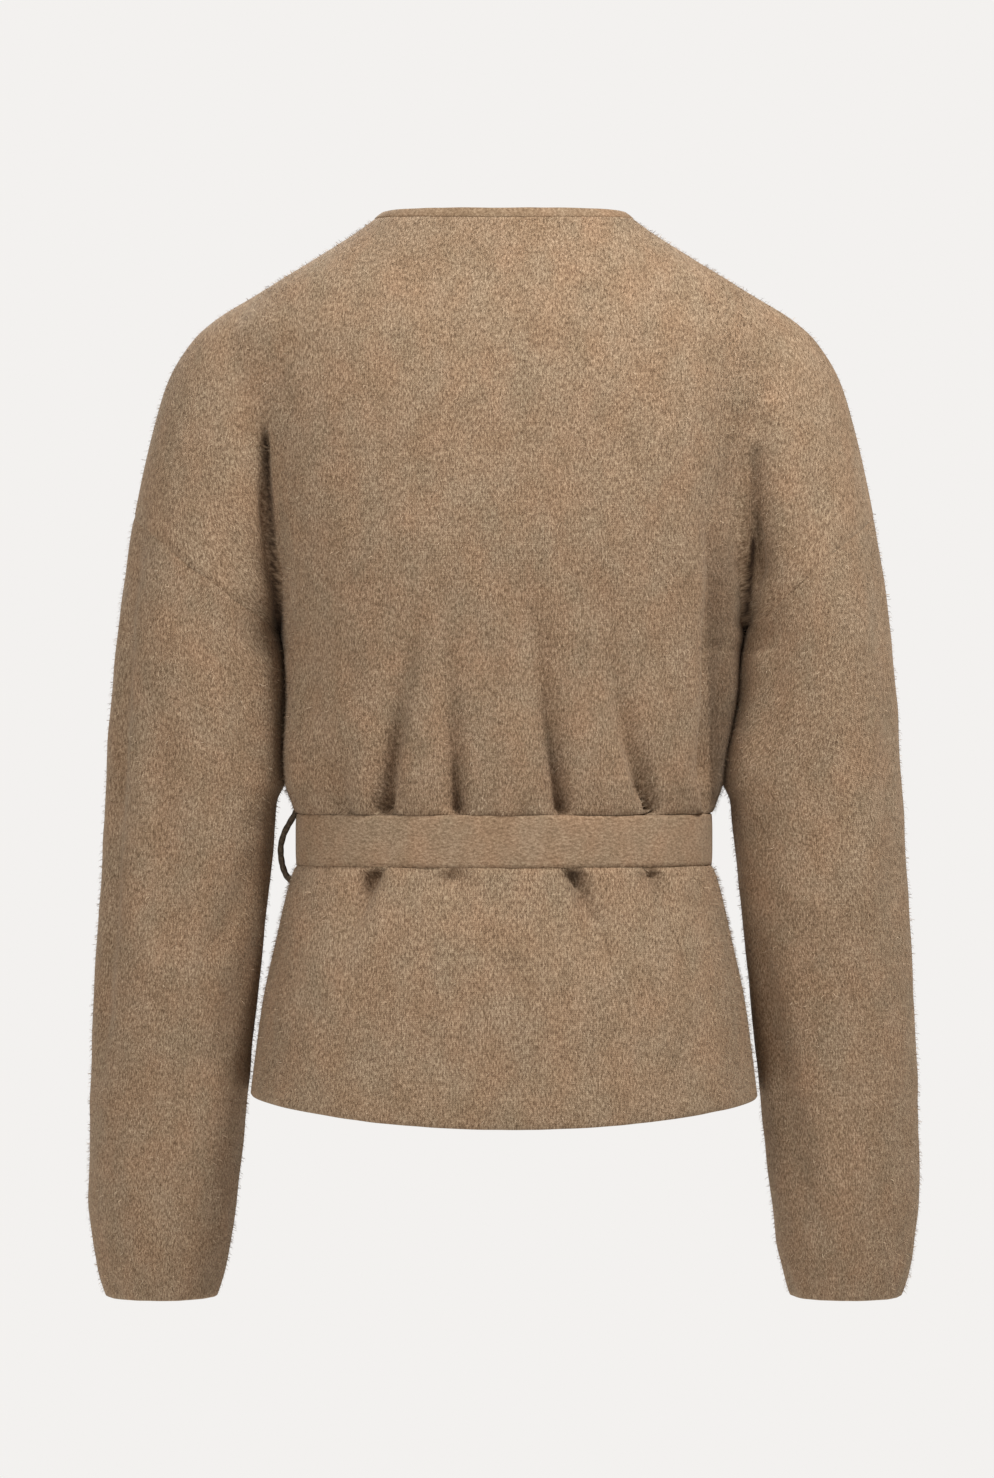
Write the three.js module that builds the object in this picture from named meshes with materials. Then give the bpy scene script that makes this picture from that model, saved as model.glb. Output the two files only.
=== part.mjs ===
// A wrap cardigan of brushed brown knit in the shape it has when worn: a hollow body with dropped
// shoulders, two fronts that lap over each other, wide sleeves and a tie belt.
// Millimetres. +Z is up, the front faces -Y and +X is the wearer's left.
// The origin is the middle of the neck opening, level with the side neck points, where the
// shoulders carry the garment.

import * as THREE from 'three';

// Cloth
const wall = 2.4;                // brushed knit, nap included
const seamGap = 0.3;             // two pieces are this far apart along a seam
const lapDrop = 5.2;             // the under front lies this far inside the outer one

// Heights
const neckTop = -4.4;            // panel edge under the band, at the side neck points
const frontTop = -6;             // first full row of a front, just below the shoulder seam's start
const armholeTop = -192;         // where the armhole seam crosses the top of the arm
const underarm = -264;           // where it meets the side seam
const beltTop = -378;
const beltBottom = -410;
const hem = -555;                // at the side seams
const backNeckDrop = 4.2;        // middle of the back neck below its ends
const backHemDrop = 13;          // middle of the back hem below the side seams
const frontHemDrop = 8;
const hemTilt = 1.8;             // the hem is this much higher at the left side seam, lower at the right

// Belt and trims
const beltThick = 3;
const beltGap = 0.9;             // between the belt and the cloth it cinches
const beltMargin = 0.6;          // the belt is this much inside the cinched rows at each edge
const bandWidth = 7;
const bandProud = 0.3;
const bandGap = 0.45;            // between the band and the panel edge it is sewn to
const bandRoll = 0.2;            // the band's middle stands out by this much more

// The body's level sections: half width at the side seam, depth behind and before the side seam,
// and how square the curve is (2 is an ellipse)
const torsoSections = [
  { z: 0, half: 77, back: 54, front: 46.5, square: 2.0 },
  { z: -10, half: 90, back: 58.8, front: 51, square: 2.0 },
  { z: -29, half: 119.4, back: 69, front: 60, square: 2.05 },
  { z: -54, half: 157, back: 81, front: 72, square: 2.1 },
  { z: -80, half: 176, back: 91, front: 84, square: 2.2 },
  { z: -130, half: 167, back: 101, front: 103, square: 2.35 },
  { z: -200, half: 153, back: 105, front: 117, square: 2.4 },
  { z: -264, half: 144.2, back: 99.3, front: 110.5, square: 2.35 },
  { z: -281, half: 140.8, back: 97.2, front: 107.2, square: 2.35 },
  { z: -292, half: 140.2, back: 96, front: 105, square: 2.35 },
  { z: -335, half: 138.5, back: 92.5, front: 98, square: 2.3 },
  { z: -366, half: 135.8, back: 89.5, front: 93.5, square: 2.3 },
  { z: -375, half: 132.4, back: 86.4, front: 90, square: 2.28 },
  { z: -378, half: 127, back: 81, front: 85, square: 2.25 },
  { z: -410, half: 127, back: 81, front: 85, square: 2.25 },
  { z: -413, half: 131.6, back: 85.8, front: 89.5, square: 2.28 },
  { z: -420, half: 135, back: 88.6, front: 92, square: 2.3 },
  { z: -457, half: 143.8, back: 100, front: 101, square: 2.3 },
  { z: -495, half: 152, back: 107, front: 107, square: 2.3 },
  { z: -527, half: 156.5, back: 110.8, front: 110.3, square: 2.3 },
  { z: -555, half: 160, back: 114, front: 113, square: 2.3 },
];

// The shoulder and arm: how far out it reaches, its half width and half depth, how far forward
// its middle lies, and the width over which it melts into the body
const armSections = [
  { z: 0, outer: 77, wide: 8, deep: 6, forward: 0, melt: 4 },
  { z: -10, outer: 90, wide: 10, deep: 8, forward: 0, melt: 6 },
  { z: -29, outer: 119.4, wide: 14, deep: 12, forward: 0, melt: 10 },
  { z: -54, outer: 160.5, wide: 34, deep: 30, forward: 0, melt: 20 },
  { z: -67, outer: 181.5, wide: 44, deep: 40, forward: 0, melt: 24 },
  { z: -80, outer: 196, wide: 51, deep: 47, forward: 0, melt: 26 },
  { z: -105, outer: 211.5, wide: 56, deep: 54, forward: 0, melt: 24 },
  { z: -130, outer: 219.5, wide: 58, deep: 58, forward: 0, melt: 20 },
  { z: -180, outer: 231, wide: 58, deep: 60, forward: 0, melt: 13 },
  { z: -230, outer: 239.5, wide: 53.6, deep: 60, forward: 0, melt: 7 },
  { z: -264, outer: 243.6, wide: 49.7, deep: 58.5, forward: 0, melt: 2 },
  { z: -281, outer: 245.4, wide: 51.6, deep: 57.6, forward: 0.5, melt: 2 },
  { z: -292, outer: 246.5, wide: 52.5, deep: 57, forward: 1, melt: 2 },
  { z: -320, outer: 248.8, wide: 54.2, deep: 55.5, forward: 2, melt: 2 },
  { z: -344, outer: 250.5, wide: 55.4, deep: 54, forward: 3, melt: 2 },
  { z: -357, outer: 251.3, wide: 55.5, deep: 53.5, forward: 3.5, melt: 2 },
  { z: -369, outer: 252, wide: 54.8, deep: 53, forward: 4, melt: 2 },
  { z: -407, outer: 254, wide: 54, deep: 52, forward: 6, melt: 2 },
  { z: -470, outer: 258.2, wide: 52.7, deep: 50, forward: 10, melt: 2 },
  { z: -495, outer: 259.6, wide: 52.2, deep: 49, forward: 12, melt: 2 },
  { z: -527, outer: 261.4, wide: 51.2, deep: 47.5, forward: 14, melt: 2 },
  { z: -558, outer: 262.4, wide: 50.2, deep: 46, forward: 16, melt: 2 },
  { z: -621, outer: 263.5, wide: 47.3, deep: 43, forward: 20, melt: 2 },
  { z: -649, outer: 261, wide: 44.3, deep: 40, forward: 22, melt: 2 },
  { z: -668, outer: 258, wide: 40.6, deep: 36.5, forward: 23, melt: 2 },
  { z: -678, outer: 255.2, wide: 37.8, deep: 34, forward: 23.5, melt: 2 },
  { z: -683.5, outer: 253.2, wide: 35.9, deep: 32.3, forward: 23.5, melt: 2 },
];

// The edge of a front, where its band is sewn on: across is measured from the middle towards the
// front's own side, so below the crossing it is negative
const frontEdge = [
  { z: 0, across: 83 },
  { z: -6, across: 82 },
  { z: -12, across: 80 },
  { z: -25, across: 76 },
  { z: -50, across: 69.5 },
  { z: -100, across: 58 },
  { z: -160, across: 41 },
  { z: -250, across: 7 },
  { z: -300, across: -24 },
  { z: -340, across: -50 },
  { z: -378, across: -66 },
  { z: -410, across: -69 },
  { z: -470, across: -75 },
  { z: -555, across: -80 },
];

// Soft troughs in the body: the side they are on, where they start (across, from) and end (toAcross,
// to), their half width and depth, and how deep they still are at the end
const bodyFolds = [
  { face: 'back', across: 103, from: -372, toAcross: 100, to: -338, spread: 7, depth: 3.5, keep: 0 },
  { face: 'back', across: 73, from: -372, toAcross: 62, to: -296, spread: 8, depth: 7, keep: 0 },
  { face: 'back', across: 30, from: -372, toAcross: 30, to: -325, spread: 8, depth: 5, keep: 0 },
  { face: 'back', across: -34, from: -372, toAcross: -14, to: -255, spread: 9, depth: 6, keep: 0 },
  { face: 'back', across: -88, from: -372, toAcross: -66, to: -298, spread: 8, depth: 6, keep: 0 },
  { face: 'back', across: 85, from: -416, toAcross: 103, to: -462, spread: 8, depth: 5, keep: 0 },
  { face: 'back', across: 33, from: -416, toAcross: 34, to: -442, spread: 8, depth: 3, keep: 0 },
  { face: 'back', across: -43, from: -416, toAcross: -62, to: -476, spread: 9, depth: 5, keep: 0 },
  { face: 'back', across: -88, from: -416, toAcross: -92, to: -440, spread: 7, depth: 3, keep: 0 },
  { face: 'back', across: 151, from: -240, toAcross: 149, to: -132, spread: 8, depth: 13, keep: 0.6 },
  { face: 'back', across: -151, from: -240, toAcross: -152, to: -136, spread: 10, depth: 9, keep: 0.4 },
  { face: 'back', across: -122, from: -330, toAcross: -126, to: -170, spread: 9, depth: 5, keep: 0.2 },
  { face: 'front', across: 150, from: -240, toAcross: 148, to: -140, spread: 9, depth: 9, keep: 0.4 },
  { face: 'front', across: -150, from: -240, toAcross: -148, to: -140, spread: 9, depth: 9, keep: 0.4 },
  { face: 'front', across: 96, from: -372, toAcross: 92, to: -310, spread: 10, depth: 5, keep: 0 },
  { face: 'front', across: 34, from: -372, toAcross: 58, to: -250, spread: 13, depth: 4.5, keep: 0 },
  { face: 'front', across: -18, from: -372, toAcross: -52, to: -240, spread: 13, depth: 4.5, keep: 0 },
  { face: 'front', across: -84, from: -372, toAcross: -100, to: -290, spread: 12, depth: 4.5, keep: 0 },
  { face: 'front', across: 60, from: -416, toAcross: 84, to: -490, spread: 12, depth: 4, keep: 0 },
  { face: 'front', across: -36, from: -416, toAcross: -64, to: -480, spread: 12, depth: 4, keep: 0 },
  { face: 'front', across: -96, from: -416, toAcross: -110, to: -465, spread: 10, depth: 4, keep: 0 },
];

// Soft troughs in the sleeves: round is the place round the arm in degrees (0 outside, 90 behind,
// 180 beside the body, 270 in front), from and to are heights on the arm's middle line
const sleeveFolds = [
  { side: 1, round: 28, toRound: 30, from: -225, to: -520, spread: 13, depth: 4 },
  { side: 1, round: 66, toRound: 84, from: -300, to: -470, spread: 15, depth: 3.5 },
  { side: 1, round: 150, toRound: 118, from: -395, to: -470, spread: 14, depth: 4 },
  { side: 1, round: 150, toRound: 128, from: -452, to: -560, spread: 13, depth: 3 },
  { side: 1, round: 262, toRound: 226, from: -330, to: -420, spread: 16, depth: 4.5 },
  { side: 1, round: 290, toRound: 240, from: -380, to: -450, spread: 16, depth: 3.5 },
  { side: -1, round: 30, toRound: 38, from: -235, to: -480, spread: 13, depth: 2.5 },
  { side: -1, round: 152, toRound: 122, from: -440, to: -640, spread: 13, depth: 5 },
  { side: -1, round: 84, toRound: 96, from: -330, to: -430, spread: 15, depth: 2.5 },
  { side: -1, round: 258, toRound: 222, from: -330, to: -430, spread: 16, depth: 4.5 },
  { side: -1, round: 292, toRound: 244, from: -392, to: -470, spread: 16, depth: 3.5 },
];

// Grid sizes
const shoulderLevels = [neckTop, -12, -24, -40, -57, -76, -98, -123];
const waistLevels = [
  -290, -308, -328, -348, -364, -375, beltTop, beltBottom, -413, -420, -436, -460, -490, -524, hem,
];
const backColumns = 36;
const frontColumns = 19;
const sleeveRings = 24;
const sleeveRound = 20;
const denseSteps = 240;

const cloth = (name, colour, rough) =>
  new THREE.MeshStandardMaterial({ name, color: colour, roughness: rough, metalness: 0 });
const knit = cloth('brushed_knit', 0x967b61, 0.95);
const beltKnit = cloth('belt_knit', 0x988066, 0.92);
const bandKnit = cloth('band_knit', 0x8a7056, 0.95);

const clamp01 = value => Math.min(1, Math.max(0, value));
const smooth = value => clamp01(value) ** 2 * (3 - 2 * clamp01(value));
const mix = (a, b, share) => a + (b - a) * share;

// One column of a table as a smooth curve over the height, with no overshoot between its rows
function curveOf(table, column) {
  const z = table.map(row => row.z);
  const value = table.map(row => row[column]);
  const slope = value.slice(1).map((next, i) => (next - value[i]) / (z[i + 1] - z[i]));
  const tangent = value.map((_, i) => {
    if (i === 0) return slope[0];
    if (i === value.length - 1) return slope[i - 1];
    return slope[i - 1] * slope[i] <= 0 ? 0 : 2 * slope[i - 1] * slope[i] / (slope[i - 1] + slope[i]);
  });
  return height => {
    let i = 0;
    while (i < z.length - 2 && height < z[i + 1]) i++;
    const span = z[i + 1] - z[i];
    const t = clamp01((height - z[i]) / span);
    const rise = t * t * (3 - 2 * t);
    const ease = tangent[i] * t * (1 - t) ** 2 - tangent[i + 1] * t * t * (1 - t);
    return mix(value[i], value[i + 1], rise) + ease * span;
  };
}

const torso = {};
for (const column of ['half', 'back', 'front', 'square']) torso[column] = curveOf(torsoSections, column);
const arm = {};
for (const column of ['outer', 'wide', 'deep', 'forward', 'melt']) arm[column] = curveOf(armSections, column);
const edgeAcross = curveOf(frontEdge, 'across');

// The larger of two depths, melted together where they are close
function meltedMax(a, b, width) {
  const near = Math.max(width - Math.abs(a - b), 0) / Math.max(width, 0.01);
  return Math.max(a, b) + near * near * width / 4;
}

// Depth of the body's outer face behind or before the side seam
function bodyDepth(x, z, face) {
  const across = Math.abs(x);
  const half = z > underarm ? Math.min(torso.half(z), arm.outer(z)) : torso.half(z);
  const square = torso.square(z);
  const share = across / half;
  const steep = 3;
  const trunk = share < 1
    ? torso[face](z) * (1 - share ** square) ** (1 / square)
    : steep * (half - across);
  if (z <= underarm) return Math.max(trunk, 0);
  const outer = arm.outer(z);
  const wide = arm.wide(z);
  const place = (across - (outer - wide)) / wide;
  const limb = Math.abs(place) < 1
    ? arm.deep(z) * Math.sqrt(1 - place * place)
    : steep * wide * (1 - Math.abs(place));
  const meltReach = 30;
  return Math.max(meltedMax(trunk, limb, arm.melt(z) * clamp01((outer - across) / meltReach)), 0);
}

// The armhole seam lies in a sloping plane, from the underarm point up to the top of the arm
const armholeInner = arm.outer(underarm) - 2 * arm.wide(underarm);
const armholeOuter = arm.outer(armholeTop);
const armholeLength = Math.hypot(armholeOuter - armholeInner, armholeTop - underarm);
const armholeTurn = Math.atan2(armholeOuter - armholeInner, armholeTop - underarm);

// A row of the knit is level over the body, and past the underarm point it bends down round that
// point, as the dropped shoulder does, to the shoulder's ridge or the armhole seam. This gives its
// place at a distance out from the middle.
function rowPlace(level, out) {
  const high = level - underarm;
  const distance = Math.abs(out);
  if (high <= 0 || distance <= armholeInner) return { x: out, z: level };
  const turn = (distance - armholeInner) / high;
  return { x: Math.sign(out) * (armholeInner + high * Math.sin(turn)), z: underarm + high * Math.cos(turn) };
}

function rowEnd(level) {
  const high = level - underarm;
  if (high <= 0) return torso.half(level);
  if (arm.outer(level) <= armholeInner) return arm.outer(level);
  let low = armholeInner;
  let far = armholeInner + high * armholeTurn;
  const beyond = out => {
    const { x, z } = rowPlace(level, out);
    return x > arm.outer(z);
  };
  if (!beyond(far)) return far;
  for (let pass = 0; pass < 40; pass++) {
    const half = (low + far) / 2;
    if (beyond(half)) far = half;
    else low = half;
  }
  return low;
}

// How far the body's troughs draw the cloth in
function foldDepth(x, z, face, fromSeam) {
  const edgeFade = 12;
  const startSteep = 8;
  const endSteep = 5;
  const beltFade = 6;
  let sum = 0;
  for (const fold of bodyFolds) {
    if (fold.face !== face) continue;
    const way = (z - fold.from) / (fold.to - fold.from);
    const start = smooth(1 + way * startSteep);
    const along = start * (1 - (1 - fold.keep) * smooth(way)) * (1 - smooth((way - 1) * endSteep));
    const offset = (x - mix(fold.across, fold.toAcross, clamp01(way))) / fold.spread;
    sum += fold.depth * along * Math.exp(-offset * offset);
  }
  const clearOfBelt = smooth((z - beltTop) / beltFade) + smooth((beltBottom - z) / beltFade);
  return sum * clearOfBelt * clamp01(fromSeam / edgeFade);
}

// How far the under front is pressed in by the outer one that laps over it
function lapPress(x, z) {
  const clearEdge = -edgeAcross(z) + bandWidth + 8;
  const lapTop = -200;
  const ease = 30;
  return lapDrop * (1 - smooth((x - clearEdge) / ease)) * smooth((lapTop - z) / ease);
}

// One row of the body's outer face, between two distances out from the middle, anticlockwise seen
// from above, as evenly spaced points with their directions along the row
function bodyRow(level, face, from, to, columns, press) {
  const sign = face === 'back' ? 1 : -1;
  const end = rowEnd(level);
  const neckReach = 46;
  const neckFade = smooth((level + neckReach) / (neckReach + neckTop));
  const hemFade = smooth((beltBottom - level) / (beltBottom - hem));
  const neckDrop = face === 'back' ? backNeckDrop * neckFade : 0;
  const hemDrop = (face === 'back' ? backHemDrop : frontHemDrop) * hemFade;
  const flat = [];
  for (let i = 0; i <= denseSteps; i++) {
    const out = (from + to) / 2 + (from - to) / 2 * Math.cos(Math.PI * i / denseSteps);
    const { x, z } = rowPlace(level, out);
    const lowered = z - (neckDrop + hemDrop) * (1 - (out / end) ** 2);
    const point = new THREE.Vector3(x, sign * bodyDepth(x, lowered, face), lowered);
    point.fromSeam = end - Math.abs(out);
    flat.push(point);
  }
  const dense = flat.map((point, i) => {
    const way = flat[Math.min(i + 1, denseSteps)].clone().sub(flat[Math.max(i - 1, 0)]).setZ(0).normalize();
    const inward = foldDepth(point.x, point.z, face, point.fromSeam) + (press ? press(point.x, point.z) : 0);
    const tilted = point.z + hemTilt * hemFade * point.x / end;
    return new THREE.Vector3(point.x - way.y * inward, point.y + way.x * inward, tilted);
  });
  return evenPoints(dense, columns);
}

// Evenly spaced points along a dense line, half a seam gap short of each end
function evenPoints(dense, count) {
  const run = [0];
  for (let i = 1; i < dense.length; i++) run.push(run[i - 1] + dense[i].distanceTo(dense[i - 1]));
  const length = run[run.length - 1];
  const points = [];
  let i = 0;
  for (let k = 0; k < count; k++) {
    const at = seamGap / 2 + (length - seamGap) * k / (count - 1);
    while (i < dense.length - 2 && run[i + 1] < at) i++;
    const share = (at - run[i]) / Math.max(run[i + 1] - run[i], 1e-9);
    const point = dense[i].clone().lerp(dense[i + 1], share);
    point.along = dense[Math.min(i + 2, dense.length - 1)].clone().sub(dense[Math.max(i - 1, 0)]).normalize();
    points.push(point);
  }
  return points;
}

// Outward directions of a grid whose rows go down and whose columns go anticlockwise
function outward(rows, wraps) {
  const last = rows.length - 1;
  return rows.map((row, i) => row.map((point, j) => {
    const down = rows[Math.min(i + 1, last)][j].clone().sub(rows[Math.max(i - 1, 0)][j]);
    const width = row.length;
    const along = point.along ?? (wraps
      ? row[(j + 1) % width].clone().sub(row[(j + width - 1) % width])
      : row[Math.min(j + 1, width - 1)].clone().sub(row[Math.max(j - 1, 0)]));
    return down.cross(along).normalize();
  }));
}

// A closed wall: the outer face, an inner face moved in by the thickness, and the rims between them
function clothWall(name, material, rows, thickness, wraps = false) {
  const normals = outward(rows, wraps);
  const width = rows[0].length;
  const count = rows.length * width;
  const position = [];
  rows.flat().forEach(point => position.push(point.x, point.y, point.z));
  rows.forEach((row, i) => row.forEach((point, j) => {
    const inner = point.clone().addScaledVector(normals[i][j], -thickness);
    position.push(inner.x, inner.y, inner.z);
  }));
  const faces = [];
  for (let i = 0; i < rows.length - 1; i++) {
    for (let j = 0; j < (wraps ? width : width - 1); j++) {
      const next = (j + 1) % width;
      const a = i * width + j;
      const b = i * width + next;
      const shorterDown = rows[i][j].distanceTo(rows[i + 1][next]) < rows[i][next].distanceTo(rows[i + 1][j]);
      if (shorterDown) faces.push([a, a + width, b + width], [a, b + width, b]);
      else faces.push([a, a + width, b], [b, a + width, b + width]);
    }
  }
  const index = [];
  const edges = new Map();
  for (const [a, b, c] of faces) {
    index.push(a, b, c, a + count, c + count, b + count);
    for (const [p, q] of [[a, b], [b, c], [c, a]]) {
      if (!edges.delete(`${q} ${p}`)) edges.set(`${p} ${q}`, [p, q]);
    }
  }
  for (const [p, q] of edges.values()) index.push(q, p, p + count, q, p + count, q + count);
  return meshOf(name, material, position, index);
}

function meshOf(name, material, position, index) {
  const geometry = new THREE.BufferGeometry();
  geometry.setAttribute('position', new THREE.Float32BufferAttribute(position, 3));
  geometry.setIndex(index);
  geometry.computeVertexNormals();
  const mesh = new THREE.Mesh(geometry, material);
  mesh.name = name;
  return mesh;
}

// A closed strip whose cross-sections, all with the same number of corners, follow a path
function strip(name, material, sections) {
  const corners = sections[0].length;
  const position = sections.flat().flatMap(point => [point.x, point.y, point.z]);
  const index = [];
  for (let i = 0; i < sections.length - 1; i++) {
    for (let j = 0; j < corners; j++) {
      const a = i * corners + j;
      const b = i * corners + (j + 1) % corners;
      index.push(a, b, a + corners, b, b + corners, a + corners);
    }
  }
  const end = (sections.length - 1) * corners;
  for (let j = 1; j < corners - 1; j++) index.push(0, j + 1, j, end, end + j, end + j + 1);
  return meshOf(name, material, position, index);
}

// Body panels, as rows of points on their outer faces. Beside the armhole the rows meet the seam
// where the sleeve's first ring has its points.
const armholeLevels = Array.from({ length: sleeveRound / 2 + 1 }, (_, k) =>
  underarm + armholeLength / 2 * (1 + Math.cos(2 * Math.PI * k / sleeveRound)));
const bodyLevels = [...shoulderLevels, ...armholeLevels, ...waistLevels];
const backRows = bodyLevels.map(z => bodyRow(z, 'back', rowEnd(z), -rowEnd(z), backColumns));
const frontLevels = [frontTop, -9, ...bodyLevels.slice(1)];
const rightRows = frontLevels.map(z => bodyRow(z, 'front', -rowEnd(z), -edgeAcross(z), frontColumns));
const leftRows = frontLevels.map(z => bodyRow(z, 'front', edgeAcross(z), rowEnd(z), frontColumns, lapPress));

// A ring of a sleeve: the arm's outline cut by a plane that is steep at the armhole and level below
const armholeSlope = (armholeTop - underarm) / (armholeOuter - armholeInner);
const armholeMiddle = (armholeTop + underarm) / 2;
const armholeCentre = (armholeOuter + armholeInner) / 2;
const armholeGap = 0.95;         // measured straight down, at the armhole seam's slope
const cuff = armSections[armSections.length - 1].z;
function sleeveRing(middle, side) {
  const levelOff = 200;
  const slope = armholeSlope * (1 - smooth((armholeMiddle - middle) / levelOff));
  const seamSlack = 0.25;
  const points = [];
  for (let k = 0; k < sleeveRound; k++) {
    const turn = 2 * Math.PI * k / sleeveRound;
    let z = middle;
    let x = armholeCentre;
    for (let pass = 0; pass < 12; pass++) {
      const wide = arm.wide(z) - seamSlack;
      x = arm.outer(z) - wide + wide * Math.cos(turn);
      z = middle + slope * (x - armholeCentre);
    }
    const inward = sleeveFoldDepth(turn * 180 / Math.PI, middle, side);
    const deep = arm.deep(z) - inward;
    const wide = arm.wide(z) - seamSlack - inward;
    x = arm.outer(z) - arm.wide(z) + seamSlack + wide * Math.cos(turn);
    points.push(new THREE.Vector3(side * x, deep * Math.sin(turn) - arm.forward(z), z));
  }
  return side > 0 ? points : [points[0], ...points.slice(1).reverse()];
}

function sleeveFoldDepth(round, middle, side) {
  let sum = 0;
  for (const fold of sleeveFolds) {
    if (fold.side !== side) continue;
    const way = (middle - fold.from) / (fold.to - fold.from);
    const along = Math.sin(Math.PI * clamp01(way)) ** 0.7;
    let offset = (round - mix(fold.round, fold.toRound, clamp01(way))) / fold.spread;
    offset = Math.min(Math.abs(offset), Math.abs(offset + 360 / fold.spread), Math.abs(offset - 360 / fold.spread));
    sum += fold.depth * along * Math.exp(-offset * offset);
  }
  return sum;
}

function sleeve(name, side) {
  const closerAtTop = 0.92;
  const rows = [];
  for (let i = 0; i < sleeveRings; i++) {
    const share = i / (sleeveRings - 1);
    rows.push(sleeveRing(mix(armholeMiddle - armholeGap, cuff, share ** closerAtTop), side));
  }
  return clothWall(name, knit, rows, wall, true);
}

// The band: from the left front's hem up, round the back neck, and down the right front's edge
function neckBand() {
  const leftNormals = outward(leftRows, false);
  const rightNormals = outward(rightRows, false);
  const backNormals = outward(backRows, false);
  const lastColumn = frontColumns - 1;
  const stations = [
    ...leftRows.map((row, i) => ({ at: row[0], normal: leftNormals[i][0], inside: row[1] })).reverse(),
    ...backRows[0].map((at, j) => ({ at, normal: backNormals[0][j], inside: backRows[1][j] })),
    ...rightRows.map((row, i) => ({
      at: row[lastColumn], normal: rightNormals[i][lastColumn], inside: row[lastColumn - 1],
    })),
  ];
  const sections = stations.map(({ at, normal, inside }, i) => {
    const before = stations[Math.max(i - 1, 0)].at;
    const after = stations[Math.min(i + 1, stations.length - 1)].at;
    const path = after.clone().sub(before).normalize();
    const away = path.clone().cross(normal).normalize();
    if (away.dot(at.clone().sub(inside)) < 0) away.negate();
    const corner = (out, up) => at.clone().addScaledVector(away, out).addScaledVector(normal, up);
    return [
      corner(bandGap, -wall), corner(bandGap + bandWidth, -wall), corner(bandGap + bandWidth, bandProud),
      corner(bandGap + bandWidth / 2, bandProud + bandRoll), corner(bandGap, bandProud),
    ];
  });
  return strip('neck_band', bandKnit, sections);
}

// The belt: a flat band round the cinched waist
function belt() {
  const steps = 72;
  const heights = [beltTop - beltMargin, (beltTop + beltBottom) / 2, beltBottom + beltMargin];
  const rows = heights.map((z, i) => {
    const proud = beltGap + beltThick + (i === 1 ? 0.3 : 0);
    const row = [];
    for (let k = 0; k < steps; k++) {
      const turn = 2 * Math.PI * k / steps;
      const square = 2 / torso.square(beltTop);
      const c = Math.cos(turn);
      const s = Math.sin(turn);
      const depth = s > 0 ? torso.back(beltTop) : torso.front(beltTop);
      row.push(new THREE.Vector3(
        Math.sign(c) * Math.abs(c) ** square * (torso.half(beltTop) + proud),
        Math.sign(s) * Math.abs(s) ** square * (depth + proud), z));
    }
    return row;
  });
  return clothWall('belt', beltKnit, rows, beltThick, true);
}

// The knot: a full rounded lump pinched round its middle, flat where it lies on the belt
const knot = {
  x: 16, half: 19, tall: 20, deep: 19, bottom: -415, endTurn: 0.16, full: 0.6, pinch: 0.1, flat: 0.96,
  clear: 0.4,
};
const beltFront = torso.front(beltTop) + beltGap + beltThick + 0.3;
function beltKnot() {
  const rings = 9;
  const round = 16;
  const sections = [];
  for (let i = 0; i <= rings; i++) {
    const turn = mix(1 - knot.endTurn, knot.endTurn, i / rings) * Math.PI;
    const size = Math.sin(turn) ** knot.full;
    const z = knot.bottom + knot.tall * (1 + Math.cos(turn) / Math.cos(knot.endTurn * Math.PI));
    const ring = [];
    for (let k = 0; k < round; k++) {
      const around = 2 * Math.PI * k / round;
      const pinch = 1 - knot.pinch * Math.cos(2 * around) * size;
      const y = Math.min(Math.sin(around) * size, knot.flat) * knot.deep / 2;
      ring.push(new THREE.Vector3(
        knot.x + Math.cos(around) * size * knot.half * pinch,
        -beltFront - knot.clear - knot.deep / 2 + y, z));
    }
    sections.push(ring);
  }
  return strip('belt_knot', beltKnit, sections);
}

// A free end of the belt: it leaves the knot narrow and hangs down the front
const tails = [
  { name: 'belt_tail_upper', from: 7, to: -14, length: 152, tip: 31 },
  { name: 'belt_tail_under', from: 25, to: 46, length: 134, tip: 31 },
];
function beltTail({ name, from, to, length, tip }) {
  const steps = 14;
  const across = 4;
  const neckWidth = 16;
  const widens = 1.6;
  const settles = 2.4;
  const clear = 5;
  const curlDepth = 1.6;
  const rows = [];
  for (let i = 0; i <= steps; i++) {
    const share = i / steps;
    const z = knot.bottom - seamGap - length * share;
    const middle = mix(from, to, smooth(share));
    const width = mix(neckWidth, tip, smooth(share * widens));
    const row = [];
    for (let j = 0; j <= across; j++) {
      const x = middle - width / 2 + width * j / across;
      const hang = mix(beltFront + knot.deep / 2, torso.front(z) + clear, smooth(share * settles));
      const curl = curlDepth * Math.cos(Math.PI * (j / across - 0.5) * 2) * (1 - share);
      row.push(new THREE.Vector3(x, -Math.max(hang, bodyDepth(x, z, 'front') + clear) - curl, z));
    }
    rows.push(row);
  }
  return clothWall(name, beltKnit, rows, beltThick);
}

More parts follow.
